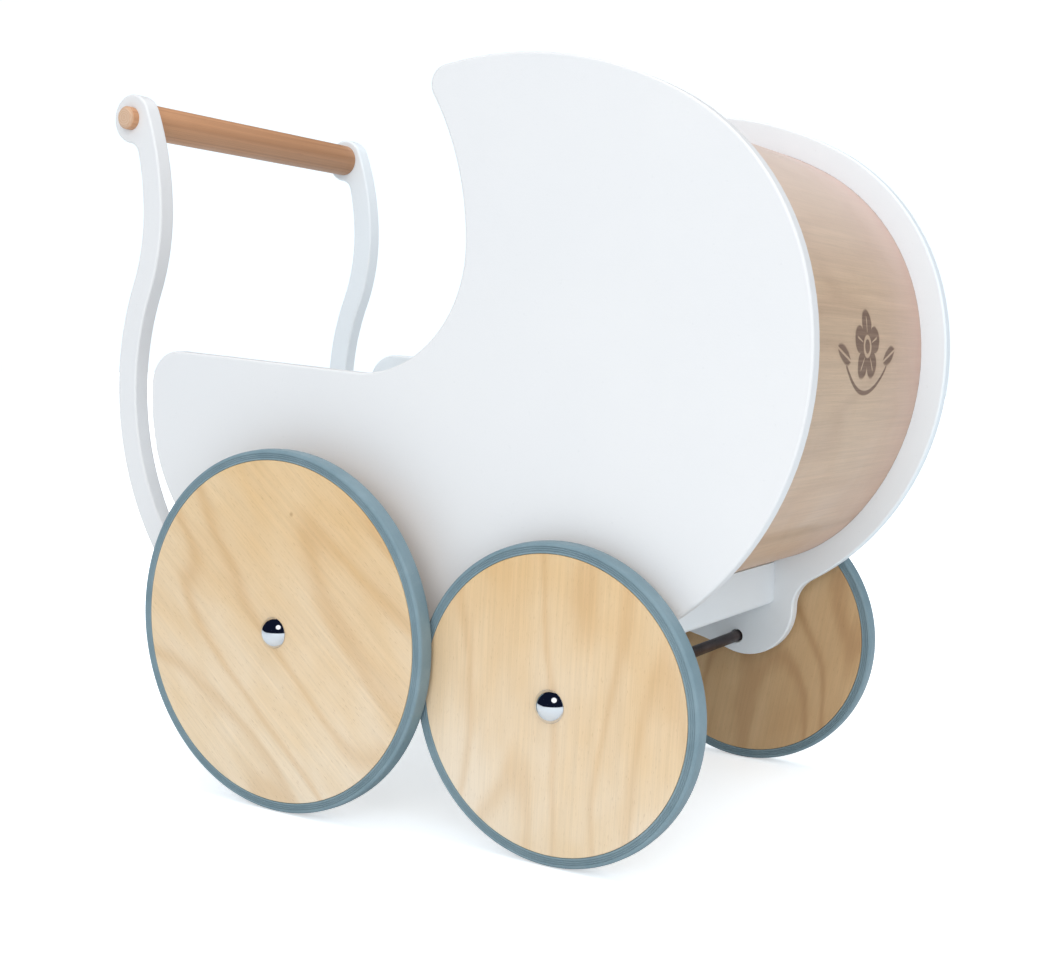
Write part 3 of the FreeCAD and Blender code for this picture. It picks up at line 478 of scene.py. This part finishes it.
def hood_plywood(name):
    material, tree, shader, place_here = new_material(name)
    across = place(tree, place_here, turn=(0.0, 0.0, -math.pi / 2))
    grain = use_group(tree, "Wood grain", Vector=across, Rings=7.0, Seed=3.1)
    marks = use_group(tree, "Handling", Vector=place_here)
    wood = mix(tree, maths(tree, "MULTIPLY", grain["Figure"], 0.38), HOOD_LIGHT, HOOD_RING)
    wood = shade_by(tree, wood, remap(tree, grain["Fibre"], 0.0, 1.0, 0.82, 1.10))
    wood = mix(tree, maths(tree, "MULTIPLY", grain["Pores"], 0.35), wood, PLY_DARK)

    parts = add(tree, "SeparateXYZ", {"Vector": place_here}).outputs
    low = maths(tree, "MULTIPLY", remap(tree, parts["Z"], TOE_FROM, TOE_TO),
                remap(tree, grain["Clouds"], 0.0, 1.0, 0.6, 1.0))
    wood = mix(tree, maths(tree, "MULTIPLY", low, 0.60), wood, HOOD_TOE)
    # Painted light: the top of the hood is made paler.
    high = remap(tree, parts["Z"], PAINTED_LIGHT_FROM, PAINTED_LIGHT_TO)
    wood = mix(tree, maths(tree, "MULTIPLY", high, 0.80), wood, HOOD_PAINTED_LIGHT)
    # Painted shade: a darker, rosy tone towards the left edge, stronger higher up.
    painted_far_shade = maths(tree, "POWER", remap(tree, parts["Y"], 0.0, PAINTED_SHADE_TO), 1.8)
    painted_far_shade = maths(tree, "MULTIPLY", painted_far_shade, remap(tree, parts["Z"], 0.19, 0.30, 0.45, 1.0))
    wood = mix(tree, maths(tree, "MULTIPLY", painted_far_shade, 0.70), wood, HOOD_PAINTED_SHADE)

    # Painted shade: a dark line along the edges where the shell meets the panels.
    edge_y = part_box("hood_shell")[1].y
    painted_seam_shade = remap(tree, maths(tree, "ABSOLUTE", parts["Y"]), edge_y - SEAM_SHADE_IN, edge_y - SEAM_SHADE_OUT)
    wood = mix(tree, maths(tree, "MULTIPLY", painted_seam_shade, 0.75), wood, GLUE_AND_SEAM_SHADE)

    iron_place = place(tree, place_here, scale=(1.0 / GARLAND_UNIT,) * 3,
                       shift=-GARLAND_AT / GARLAND_UNIT)
    garland = use_group(tree, "Burned garland", Vector=iron_place)
    depth = add(tree, "Attribute", attribute_name="depth").outputs["Fac"]
    front = maths(tree, "MULTIPLY", remap(tree, parts["X"], 0.19, 0.20),
                  maths(tree, "LESS_THAN", depth, OUTSIDE))
    outside = maths(tree, "MULTIPLY", front, garland["Halo"])
    wood = mix(tree, maths(tree, "MULTIPLY", outside, 0.22), wood, HALO_BROWN)
    burned = maths(tree, "MULTIPLY", front, garland["Ink"])
    burned = maths(tree, "MULTIPLY", burned, remap(tree, grain["Fibre"], 0.0, 1.0, 0.95, 0.7))
    wood = mix(tree, burned, wood, BURN_BROWN)

    layer = maths(tree, "MULTIPLY", depth, PLIES)
    odd = maths(tree, "GREATER_THAN", maths(tree, "MODULO", layer, 2.0), 1.0)
    inside = maths(tree, "MULTIPLY", maths(tree, "GREATER_THAN", depth, OUTSIDE),
                   maths(tree, "LESS_THAN", depth, INSIDE))
    wood = mix(tree, maths(tree, "MULTIPLY", odd, inside), wood, PLY_DARK)
    from_glue = maths(tree, "PINGPONG", layer, 0.5)
    glue = maths(tree, "MULTIPLY", maths(tree, "LESS_THAN", from_glue, 0.06), inside)
    wood = mix(tree, glue, wood, GLUE_AND_SEAM_SHADE)

    gloss = maths(tree, "MULTIPLY_ADD", marks["Smudges"], 0.10, 0.40)
    gloss = maths(tree, "MULTIPLY_ADD", burned, 0.25, gloss)
    height = maths(tree, "MULTIPLY_ADD", burned, -3.0, grain["Fibre"])
    feed(tree, shader, Base_Color=wood, Roughness=gloss, IOR=1.45,
         Normal=bump(tree, height, 0.00006, 0.6))
    return material


hood_wood = hood_plywood("bent_hood_plywood")
print("hood plywood made")

# %% [markdown]
# ## Oiled beech
# The handle is a turned beech dowel, oiled by the hands that push it.  Along its
# length the grain shows as fine reddish streaks and short flecks; on the sawn ends
# of the tenons the same wood shows its year rings, so the material looks at the
# surface direction and draws rings about the bar's axis where it faces sideways.
# A painted shade makes the bar darker towards its left end, and painted light makes it lighter
# towards its right end.

# %% Oiled beech material
BEECH = (0.530, 0.272, 0.142, 1.0)
BEECH_STREAK = (0.385, 0.180, 0.088, 1.0)
BEECH_FLECK = (0.270, 0.125, 0.060, 1.0)
BEECH_END = (0.660, 0.455, 0.320, 1.0)
PAINTED_SHADE_HALF = 0.10                  # half the length over which the painted light and shade change along the bar
RING_SPACING = 0.001496           # between the year rings on a sawn end


def oiled_beech(name, axis_x, axis_z, rings):
    material, tree, shader, place_here = new_material(name)
    along = place(tree, place_here, turn=(0.0, 0.0, -math.pi / 2))
    along = place(tree, along, scale=(0.3, 3.0, 3.0))
    grain = use_group(tree, "Wood grain", Vector=along, Rings=rings, Seed=6.4)
    marks = use_group(tree, "Handling", Vector=place_here)
    wood = mix(tree, maths(tree, "MULTIPLY", grain["Figure"], 0.45), BEECH, BEECH_STREAK)
    wood = shade_by(tree, wood, remap(tree, grain["Fibre"], 0.0, 1.0, 0.82, 1.10))
    wood = mix(tree, maths(tree, "MULTIPLY", grain["Pores"], 0.6), wood, BEECH_FLECK)

    centred = place(tree, place_here, shift=(-axis_x, 0.0, -axis_z))
    parts = add(tree, "SeparateXYZ", {"Vector": centred}).outputs
    # Painted light and shade along the bar: lighter at its right end, darker at its left.
    wood = shade_by(tree, wood, remap(tree, parts["Y"], -PAINTED_SHADE_HALF, PAINTED_SHADE_HALF, 1.16, 0.90))
    radius = maths(tree, "SQRT", maths(tree, "ADD", maths(tree, "POWER", parts["X"], 2.0),
                                       maths(tree, "POWER", parts["Z"], 2.0)))
    uneven = maths(tree, "MULTIPLY_ADD", noise(tree, centred, 120.0), 0.004, radius)
    phase = maths(tree, "MULTIPLY", uneven, 2 * math.pi / RING_SPACING)
    ring = maths(tree, "MULTIPLY_ADD", maths(tree, "SINE", phase), 0.5, 0.5)
    sawn = mix(tree, maths(tree, "MULTIPLY", ring, 0.4), BEECH_END, BEECH)
    normal = add(tree, "SeparateXYZ", {"Vector": add(tree, "TexCoord").outputs["Normal"]})
    facing = remap(tree, maths(tree, "ABSOLUTE", normal.outputs["Y"]), 0.5, 0.8)
    wood = mix(tree, facing, wood, sawn)

    gloss = maths(tree, "MULTIPLY_ADD", marks["Smudges"], 0.14, 0.36)
    gloss = maths(tree, "MULTIPLY_ADD", facing, 0.2, gloss)
    feed(tree, shader, Base_Color=wood, Roughness=gloss, IOR=1.46,
         Normal=bump(tree, grain["Fibre"], 0.00006, 0.6))
    return material


print("oiled beech ready")

# %% [markdown]
# ## Rubber, steel, chrome and nylon
# The tyres are a slate grey rubber with a matt skin and a little bloom.  The axles
# are blackened rod with fine turning lines, the washers and bolts are zinc plated,
# and the hub caps are pressed and chromed: almost a mirror, apart from faint wipe
# marks.  Bushes and spacers are milky nylon.

# %% Rubber and nylon materials
RUBBER = (0.172, 0.255, 0.296, 1.0)
RUBBER_BLOOM = (0.215, 0.302, 0.345, 1.0)
RUBBER_DUST = (0.420, 0.430, 0.420, 1.0)
NYLON = (0.78, 0.79, 0.77, 1.0)
NYLON_CLOUD = (0.70, 0.71, 0.68, 1.0)


def grey_rubber(name):
    material, tree, shader, place_here = new_material(name)
    marks = use_group(tree, "Handling", Vector=place_here)
    bloom = noise(tree, place_here, 38.0, 5.0, 0.65)
    skin = mix(tree, remap(tree, bloom, 0.35, 0.7), RUBBER, RUBBER_BLOOM)
    skin = mix(tree, maths(tree, "MULTIPLY", marks["Dust"], 0.35), skin, RUBBER_DUST)
    gloss = maths(tree, "MULTIPLY_ADD", marks["Smudges"], 0.15, 0.46)
    pimples = noise(tree, place_here, 2400.0, 2.0)
    feed(tree, shader, Base_Color=skin, Roughness=gloss, IOR=1.5,
         Normal=bump(tree, pimples, 0.00005, 0.5))
    return material


def milky_nylon(name):
    material, tree, shader, place_here = new_material(name)
    cloud = noise(tree, place_here, 160.0, 3.0)
    tint = mix(tree, remap(tree, cloud, 0.35, 0.65), NYLON, NYLON_CLOUD)
    tooling = noise(tree, place(tree, place_here, scale=(300.0, 3200.0, 300.0)), 1.0, 2.0)
    gloss = remap(tree, tooling, 0.3, 0.7, 0.38, 0.52)
    feed(tree, shader, Base_Color=tint, Roughness=gloss,
         Normal=bump(tree, tooling, 0.00003, 0.5))
    return material


rubber = grey_rubber("grey_rubber")
nylon = milky_nylon("milky_nylon")
print("rubber and nylon made")

# %% Steel and chrome materials
BLACK_STEEL = (0.040, 0.027, 0.028, 1.0)
STEEL_RUB = (0.105, 0.070, 0.060, 1.0)
ZINC = (0.56, 0.58, 0.60, 1.0)
ZINC_DULL = (0.40, 0.42, 0.45, 1.0)
CHROME = (0.80, 0.81, 0.83, 1.0)
CHROME_WIPED = (0.70, 0.71, 0.74, 1.0)


def turned_metal(name, first, second, gloss_low, gloss_high, metallic, lines):
    """Metal with fine tool lines round an axis along Y, and patches of a second tone."""
    material, tree, shader, place_here = new_material(name)
    marks = use_group(tree, "Handling", Vector=place_here)
    tool = noise(tree, place(tree, place_here, scale=(40.0, lines, 40.0)), 1.0, 2.0)
    tone = mix(tree, marks["Smudges"], first, second)
    tone = mix(tree, maths(tree, "MULTIPLY", marks["Scratches"], 0.5), tone, second)
    gloss = remap(tree, tool, 0.3, 0.7, gloss_low, gloss_high)
    gloss = maths(tree, "MULTIPLY_ADD", marks["Dust"], 0.1, gloss)
    feed(tree, shader, Base_Color=tone, Metallic=metallic, Roughness=gloss,
         Normal=bump(tree, tool, 0.000008, 0.4))
    return material


black_steel = turned_metal("black_steel", BLACK_STEEL, STEEL_RUB, 0.30, 0.46, 0.6, 2600.0)
zinc = turned_metal("zinc_plate", ZINC, ZINC_DULL, 0.26, 0.40, 1.0, 1800.0)
chrome = turned_metal("chrome_plate", CHROME, CHROME_WIPED, 0.045, 0.075, 1.0, 300.0)
FITTINGS = {
    "front_axle": black_steel, "rear_axle": black_steel,
    "front_axle_spacers": nylon, "rear_axle_spacers": nylon, "panel_bushes": nylon,
    "wheel_washers": zinc, "arm_bolts": zinc, "arm_thread_inserts": zinc,
    "cam_bolts": zinc, "cam_locks": zinc,
}
for end in ("front", "rear"):
    for side in ("left", "right"):
        FITTINGS[end + "_" + side + "_hub_bush"] = nylon
for name, finish in FITTINGS.items():
    nodes[name].data.materials.clear()
    nodes[name].data.materials.append(finish)
print("finishes on", len(FITTINGS), "fittings")

# %% [markdown]
# ## Helpers for modelling
# Most new pieces are round, as a wood turner or a moulder would make them: a small outline is spun
# about the axle, and its sharp edges are eased.  The last helper turns the mesh into an object, rides
# it on its CAD body and hides the CAD piece it stands for.  Its normals are weighted by face area, so
# that flat faces stay flat to the eye and only the eased edges shade round.

# %% Modelling helpers
def turned(outline, axis_x, axis_z, steps, closed=True):
    """Spins a (radius, y) outline a full turn about a line along Y."""
    bm = bmesh.new()
    corners = [bm.verts.new((axis_x + radius, y, axis_z)) for radius, y in outline]
    for first, second in zip(corners, corners[1:]):
        bm.edges.new((first, second))
    if closed:
        bm.edges.new((corners[-1], corners[0]))
    bmesh.ops.spin(bm, geom=bm.verts[:] + bm.edges[:], cent=(axis_x, 0.0, axis_z),
                   axis=(0.0, 1.0, 0.0), angle=2 * math.pi, steps=steps, use_merge=True)
    bmesh.ops.remove_doubles(bm, verts=bm.verts, dist=1e-6)
    bmesh.ops.recalc_face_normals(bm, faces=bm.faces)
    return bm


def ease(bm, offset, segments, pick=lambda middle: True, sharper_than=40.0):
    """Rounds the sharp edges, or those among them that a test of their middle picks."""
    limit = math.radians(sharper_than)
    sharp = [edge for edge in bm.edges if edge.calc_face_angle(0.0) > limit
             and pick((edge.verts[0].co + edge.verts[1].co) / 2)]
    bmesh.ops.bevel(bm, geom=sharp, offset=offset, segments=segments, profile=0.5,
                    affect="EDGES", material=-1)


def finish_piece(bm, name, body, stands_for, material):
    """Makes the object, rides it on its body, and hides the CAD node it stands for."""
    normals = []
    for vert in bm.verts:
        weighted = sum((face.normal * face.calc_area() for face in vert.link_faces), Vector())
        normals.append(weighted.normalized())
    mesh = bpy.data.meshes.new(name)
    bm.to_mesh(mesh)
    bm.free()
    mesh.shade_smooth()
    mesh.normals_split_custom_set_from_vertices(normals)
    mesh.materials.append(material)
    piece = bpy.data.objects.new(name, mesh)
    bpy.context.scene.collection.objects.link(piece)
    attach(piece, body)
    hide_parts(*stands_for)
    print(name, "has", len(mesh.polygons), "faces")
    return piece


# %% [markdown]
# ## Wheel discs
# A disc is sawn from 12 mm plywood, bored for its bush, and its edges are broken
# with fine paper so that no splinter lifts.  A square outline spun about the axle
# gives the ring, and a small bevel gives the broken edge.  The axle of each wheel
# is read from the box of its CAD node.

# %% Model the wheel discs
WHEEL_STEPS = 144
EDGE_BREAK = 0.0006
VENEERS = {                      # grain angle, place on the sheet, rings, tones, figure, painted light share
    # The far front wheel takes the darker copy of the birch, which is painted shade.
    "front_left": (80.0, 1.7, 10.0, PAINTED_SHADE_BIRCH, 0.50, 0.0),
    "front_right": (88.0, 4.3, 8.0, PALE_BIRCH, 0.38, 1.0),
    "rear_left": (12.0, 7.9, 9.0, PALE_BIRCH, 0.50, 0.3),
    "rear_right": (-40.0, 0.6, 9.0, PALE_BIRCH, 0.50, 0.85),
}
KNOT_WHEEL = "rear_right"
KNOT_AHEAD = 0.015               # from the axle
KNOT_ABOVE = 0.077


def wheel_box(name):
    """Axle x and z, radius, and the y of the inner and the outer face of a wheel piece."""
    low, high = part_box(name)
    middle = (low + high) / 2
    inner, outer = sorted((low.y, high.y), key=abs)
    return middle.x, middle.z, (high.z - low.z) / 2, inner, outer


for wheel, (angle, seed, rings, tones, figure, painted_light_share) in VENEERS.items():
    axis_x, axis_z, radius, inner, outer = wheel_box(wheel + "_wheel_disc")
    bore = wheel_box(wheel + "_hub_bush")[2]
    knot = (axis_x + KNOT_AHEAD, outer, axis_z + KNOT_ABOVE) if wheel == KNOT_WHEEL else None
    birch = varnished_birch(wheel + "_birch", axis_z, angle, seed, rings, tones, figure, painted_light_share, knot)
    disc = turned([(bore, inner), (radius, inner), (radius, outer), (bore, outer)],
                  axis_x, axis_z, WHEEL_STEPS)
    ease(disc, EDGE_BREAK, 3)
    finish_piece(disc, wheel + "_birch_disc", wheel + "_wheel", [wheel + "_wheel_disc"],
                 birch)

# %% [markdown]
# ## Rubber tyres
# The tyre is a moulded band stretched over the disc.  Its side has a plain bead
# next to the wood, then fine ribs left by the mould, and a round shoulder that
# runs into a slightly crowned tread.  The outline is built from the wood outwards,
# with one groove at a time, and mirrored about the middle of the wheel.

# %% Model the tyres
BEAD_EASE = 0.0006
GROOVES = (0.0017, 0.0029, 0.0041)       # distance from the wood to each groove
GROOVE_HALF = 0.00042             # half a groove's width
GROOVE_DEPTH = 0.0009
SHOULDER = 0.0020                 # radius of the rounding between side and tread
SHOULDER_STEPS = 5
CROWN = 0.0003                    # rise of the tread towards its middle


def tyre_side(seat, radius, half):
    """Outline of half a tyre, from the wood to the middle of the tread."""
    outline = [(seat, half - BEAD_EASE), (seat + BEAD_EASE, half)]
    for distance in GROOVES:
        outline.append((seat + distance - GROOVE_HALF, half))
        outline.append((seat + distance, half - GROOVE_DEPTH))
        outline.append((seat + distance + GROOVE_HALF, half))
    for i in range(SHOULDER_STEPS + 1):
        turn = math.radians(90.0 * i / SHOULDER_STEPS)
        outline.append((radius - CROWN - SHOULDER * (1.0 - math.sin(turn)),
                        half - SHOULDER * (1.0 - math.cos(turn))))
    return outline


for wheel in VENEERS:
    axis_x, axis_z, radius, inner, outer = wheel_box(wheel + "_tyre")
    seat = wheel_box(wheel + "_wheel_disc")[2]
    middle = (inner + outer) / 2
    half = abs(outer - inner) / 2
    side = tyre_side(seat, radius, half)
    outline = [(r, middle + y) for r, y in side] + [(radius, middle)]
    outline += [(r, middle - y) for r, y in reversed(side)]
    tyre = turned(outline, axis_x, axis_z, WHEEL_STEPS)
    finish_piece(tyre, wheel + "_rubber_tyre", wheel + "_wheel", [wheel + "_tyre"],
                 rubber)

# %% [markdown]
# ## Hub caps
# A hub cap is a disc of thin steel pressed into a dome and knocked on to the end
# of the axle.  A sphere cut by a plane gives the dome, solidify gives the sheet its
# thickness, and the cut rim is rolled over with a bevel.  The sphere's radius
# follows from the width and the height of the cap.

# %% Model the hub caps
CAP_SHEET = 0.0008
CAP_RIM = 0.35                    # rounding of the cut rim, as a share of the sheet
CAP_SEGMENTS = 72
CAP_RINGS = 40


def hub_cap(wheel):
    axis_x, axis_z, radius, inner, outer = wheel_box(wheel + "_axle_cap")
    outwards = 1.0 if outer > 0 else -1.0
    height = abs(outer - inner)
    ball = (radius ** 2 + height ** 2) / (2 * height)
    bm = bmesh.new()
    bmesh.ops.create_uvsphere(bm, u_segments=CAP_SEGMENTS, v_segments=CAP_RINGS, radius=ball)
    bmesh.ops.rotate(bm, verts=bm.verts, cent=(0, 0, 0),
                     matrix=Matrix.Rotation(math.pi / 2, 3, "X"))
    bmesh.ops.translate(bm, verts=bm.verts,
                        vec=(axis_x, outer - outwards * ball, axis_z))
    bmesh.ops.bisect_plane(bm, geom=bm.verts[:] + bm.edges[:] + bm.faces[:],
                           plane_co=(axis_x, inner, axis_z), plane_no=(0, outwards, 0),
                           clear_inner=True)
    bmesh.ops.recalc_face_normals(bm, faces=bm.faces)
    summit = max(bm.faces, key=lambda face: face.calc_center_median().y * outwards)
    if summit.normal.y * outwards < 0:
        bmesh.ops.reverse_faces(bm, faces=bm.faces)
    bmesh.ops.solidify(bm, geom=bm.faces[:], thickness=CAP_SHEET)
    ease(bm, CAP_SHEET * CAP_RIM, 3)
    return bm


for wheel in VENEERS:
    finish_piece(hub_cap(wheel), wheel + "_hub_cap", "frame", [wheel + "_axle_cap"],
                 chrome)

# %% [markdown]
# ## Handle
# The handle is a dowel whose ends are turned down to tenons that pass through the
# arms and stand out a little, with a chamfer all round.  The outline runs from one
# end of the axis to the other, so the spin closes the ends by itself; the steps
# beside the arms are eased after it.

# %% Model the handle
TENON_RADIUS = 0.0078
TENON_CHAMFER = 0.0020
HANDLE_EASE = 0.0005
HANDLE_STEPS = 72

bar_low, bar_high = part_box("handle_bar")
bar_radius = (bar_high.z - bar_low.z) / 2
bar_x = (bar_low.x + bar_high.x) / 2
bar_z = (bar_low.z + bar_high.z) / 2
shoulder_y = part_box("left_handle_arm")[0].y
half_bar = [
    (0.0, bar_high.y),
    (TENON_RADIUS - TENON_CHAMFER, bar_high.y),
    (TENON_RADIUS, bar_high.y - TENON_CHAMFER),
    (TENON_RADIUS, shoulder_y),
    (bar_radius, shoulder_y),
]
outline = half_bar + [(radius, -y) for radius, y in reversed(half_bar)]
handle = turned(outline, bar_x, bar_z, HANDLE_STEPS, closed=False)
ease(handle, HANDLE_EASE, 2, sharper_than=30.0)
finish_piece(handle, "beech_handle", "frame", ["handle_bar"],
             oiled_beech("oiled_beech", bar_x, bar_z, 14.0))
nodes["wooden_pins"].data.materials.clear()
nodes["wooden_pins"].data.materials.append(oiled_beech("raw_beech", bar_x, bar_z, 10.0))

# %% [markdown]
# ## Hood shell
# The shell follows the hood at an even distance, so its section is a chain of four
# arcs: a tighter toe, the front, the shoulder and the flatter top.  The section
# starts as one small rectangle at the toe and is spun about each centre in turn,
# each time carrying on from the last face.  The depth attribute is set on that
# first rectangle, and every spin copies it along.

# %% Model the hood shell
SHELL_SHEET = 0.0055
SHELL_START = -78.4745            # degrees from level, where the toe ends over the rail
BENDS = (                         # centre x and z, outer radius, end angle, steps
    (0.122172, 0.261464, 0.1100, -42.0, 12),
    (0.081150, 0.298400, 0.1652, 13.2, 20),
    (0.108605, 0.304839, 0.1370, 62.0, 18),
    (0.063536, 0.220077, 0.2330, 97.0, 14),
)
SHEET_EASE = 0.0004

shell_low, shell_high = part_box("hood_shell")
shell = bmesh.new()
depth_layer = shell.verts.layers.float.new("depth")
toe_x, toe_z, toe_radius = BENDS[0][:3]
start = math.radians(SHELL_START)
corners = []
for y, depth in ((shell_low.y, 0.0), (shell_high.y, 0.0), (shell_high.y, 1.0), (shell_low.y, 1.0)):
    radius = toe_radius - depth * SHELL_SHEET
    vert = shell.verts.new((toe_x + radius * math.cos(start), y, toe_z + radius * math.sin(start)))
    vert[depth_layer] = depth
    corners.append(vert)
last = [shell.faces.new(corners)]
angle = SHELL_START
for centre_x, centre_z, radius, end_angle, steps in BENDS:
    spun = bmesh.ops.spin(shell, geom=last, cent=(centre_x, 0.0, centre_z), axis=(0.0, -1.0, 0.0),
                          angle=math.radians(end_angle - angle), steps=steps)
    last = [item for item in spun["geom_last"] if isinstance(item, bmesh.types.BMFace)]
    angle = end_angle
bmesh.ops.recalc_face_normals(shell, faces=shell.faces)
ease(shell, SHEET_EASE, 2)
finish_piece(shell, "bent_hood_shell", "frame", ["hood_shell"], hood_wood)

# %% [markdown]
# ## Floor and light
# The stroller stands on a plain white floor under soft studio light.  One large
# softbox near the camera models the body, one overhead lifts the floor to white,
# and a weak one from the front opens the hood.  In a mirror the room is dark above
# the horizon and the floor is bright below it, which gives the chromed caps the
# dark upper half that makes them read as metal; one small softbox is the spark on
# them.  The paper glows a little towards its far edge, only for the camera, so
# that floor and room meet in the same white.

# %% Floor
FLOOR_HALF = 12.0
LIFT_FROM = 0.25                  # distance from the middle where the glow begins to rise
LIFT_TO = 1.10                    # and where it is full
LIFT_NEAR = 0.50                  # glow under the stroller, as a share of white
FLOOR_WHITE = (0.84, 0.88, 0.91, 1.0)
FLOOR_GREY = (0.81, 0.855, 0.89, 1.0)


def paper_floor(name):
    material, tree, shader, place_here = new_material(name)
    cloud = noise(tree, place_here, 1.3, 3.0)
    tint = mix(tree, remap(tree, cloud, 0.35, 0.65), FLOOR_WHITE, FLOOR_GREY)
    tooth = noise(tree, place_here, 900.0, 2.0)
    away = add(tree, "VectorMath", {0: place_here}, operation="LENGTH").outputs["Value"]
    lift = remap(tree, away, LIFT_FROM, LIFT_TO, LIFT_NEAR, 1.0)
    lift = maths(tree, "MULTIPLY", lift, add(tree, "LightPath").outputs["Is Camera Ray"])
    glow = add(tree, "CombineColor", {0: lift, 1: lift, 2: lift}).outputs[0]
    feed(tree, shader, Base_Color=tint, Roughness=remap(tree, tooth, 0.3, 0.7, 0.7, 0.85),
         Normal=bump(tree, tooth, 0.00005, 0.3), Emission_Color=glow, Emission_Strength=1.0)
    return material


def stage_sheet(name, half, material):
    """A square sheet on the ground that belongs to the stage, not to the stroller."""
    bm = bmesh.new()
    bmesh.ops.create_grid(bm, x_segments=1, y_segments=1, size=half)
    mesh = bpy.data.meshes.new(name)
    bm.to_mesh(mesh)
    bm.free()
    mesh.materials.append(material)
    sheet = bpy.data.objects.new(name, mesh)
    bpy.context.scene.collection.objects.link(sheet)


stage_sheet("paper_floor", FLOOR_HALF, paper_floor("floor_paper"))
print("floor made")

# %% Camera
AZIMUTH = math.radians(30.86)     # how far the camera stands round to the front
TILT = math.radians(6.13)         # and how far it looks down
ROLL = math.radians(1.28)
SHIFT_X, SHIFT_Y = -0.0458, 0.0271    # of the picture's middle off the lens axis
CAMERA_AT = Vector((0.5370, -0.8282, 0.2965))
SENSOR = 36.0
LENS = 49.14

forward = Vector((-math.sin(AZIMUTH) * math.cos(TILT), math.cos(AZIMUTH) * math.cos(TILT),
                  -math.sin(TILT)))
level_right = forward.cross(Vector((0.0, 0.0, 1.0))).normalized()
level_up = level_right.cross(forward)
right = level_right * math.cos(ROLL) + level_up * math.sin(ROLL)
up = level_up * math.cos(ROLL) - level_right * math.sin(ROLL)
turn = Matrix((right, up, -forward)).transposed().to_4x4()

lens_data = bpy.data.cameras.new("camera")
lens_data.sensor_width = SENSOR
lens_data.lens = LENS
lens_data.shift_x = SHIFT_X
lens_data.shift_y = SHIFT_Y
lens_data.clip_start = 0.01
lens_data.clip_end = 100.0
camera = bpy.data.objects.new("camera", lens_data)
camera.matrix_world = Matrix.Translation(CAMERA_AT) @ turn
bpy.context.scene.collection.objects.link(camera)
bpy.context.scene.camera = camera
print("camera at", [round(value, 3) for value in CAMERA_AT])

# %% Lights
MIDDLE = Vector((0.0, 0.0, 0.22))


def softbox(name, at, size, power, colour, shape="SQUARE"):
    """An area light that looks at the middle of the stroller."""
    light = bpy.data.lights.new(name, "AREA")
    light.shape = shape
    light.size = size
    light.energy = power
    light.color = colour
    lamp = bpy.data.objects.new(name, light)
    lamp.location = at
    lamp.rotation_mode = "QUATERNION"
    lamp.rotation_quaternion = (MIDDLE - Vector(at)).to_track_quat("-Z", "Y")
    bpy.context.scene.collection.objects.link(lamp)
    return lamp


softbox("key_softbox", (0.95, -2.5, 1.15), 2.0, 24.0, (1.0, 0.975, 0.945))
softbox("top_softbox", (0.2, 0.0, 2.6), 2.2, 27.0, (0.98, 0.99, 1.0))
softbox("hood_softbox", (2.2, -0.3, 1.9), 1.2, 6.0, (1.0, 0.98, 0.96))
for lamp in [item for item in bpy.context.scene.objects if item.type == "LIGHT"]:
    lamp.visible_glossy = False
softbox("cap_spark", (1.10, -1.45, 1.60), 1.25, 5.0, (1.0, 1.0, 1.0), "DISK")

ROOM_WHITE = (0.87, 0.945, 1.0, 1.0)
ROOM_DARK = (0.010, 0.014, 0.035, 1.0)
ROOM_SEEN = 1.16                  # brightness for the camera
ROOM_LIGHT = 0.74                 # and for the light it gives
world = bpy.data.worlds.new("studio")
bpy.context.scene.world = world
world.use_nodes = True
air = world.node_tree
backdrop = air.nodes["Background"]
paths = add(air, "LightPath").outputs
strength = remap(air, paths["Is Camera Ray"], 0.0, 1.0, ROOM_LIGHT, ROOM_SEEN)
colour = mix(air, paths["Is Glossy Ray"], ROOM_WHITE, ROOM_DARK)
air.links.new(colour, backdrop.inputs["Color"])
air.links.new(strength, backdrop.inputs["Strength"])
bpy.context.scene.view_settings.view_transform = "Standard"
print("four softboxes and a pale room")
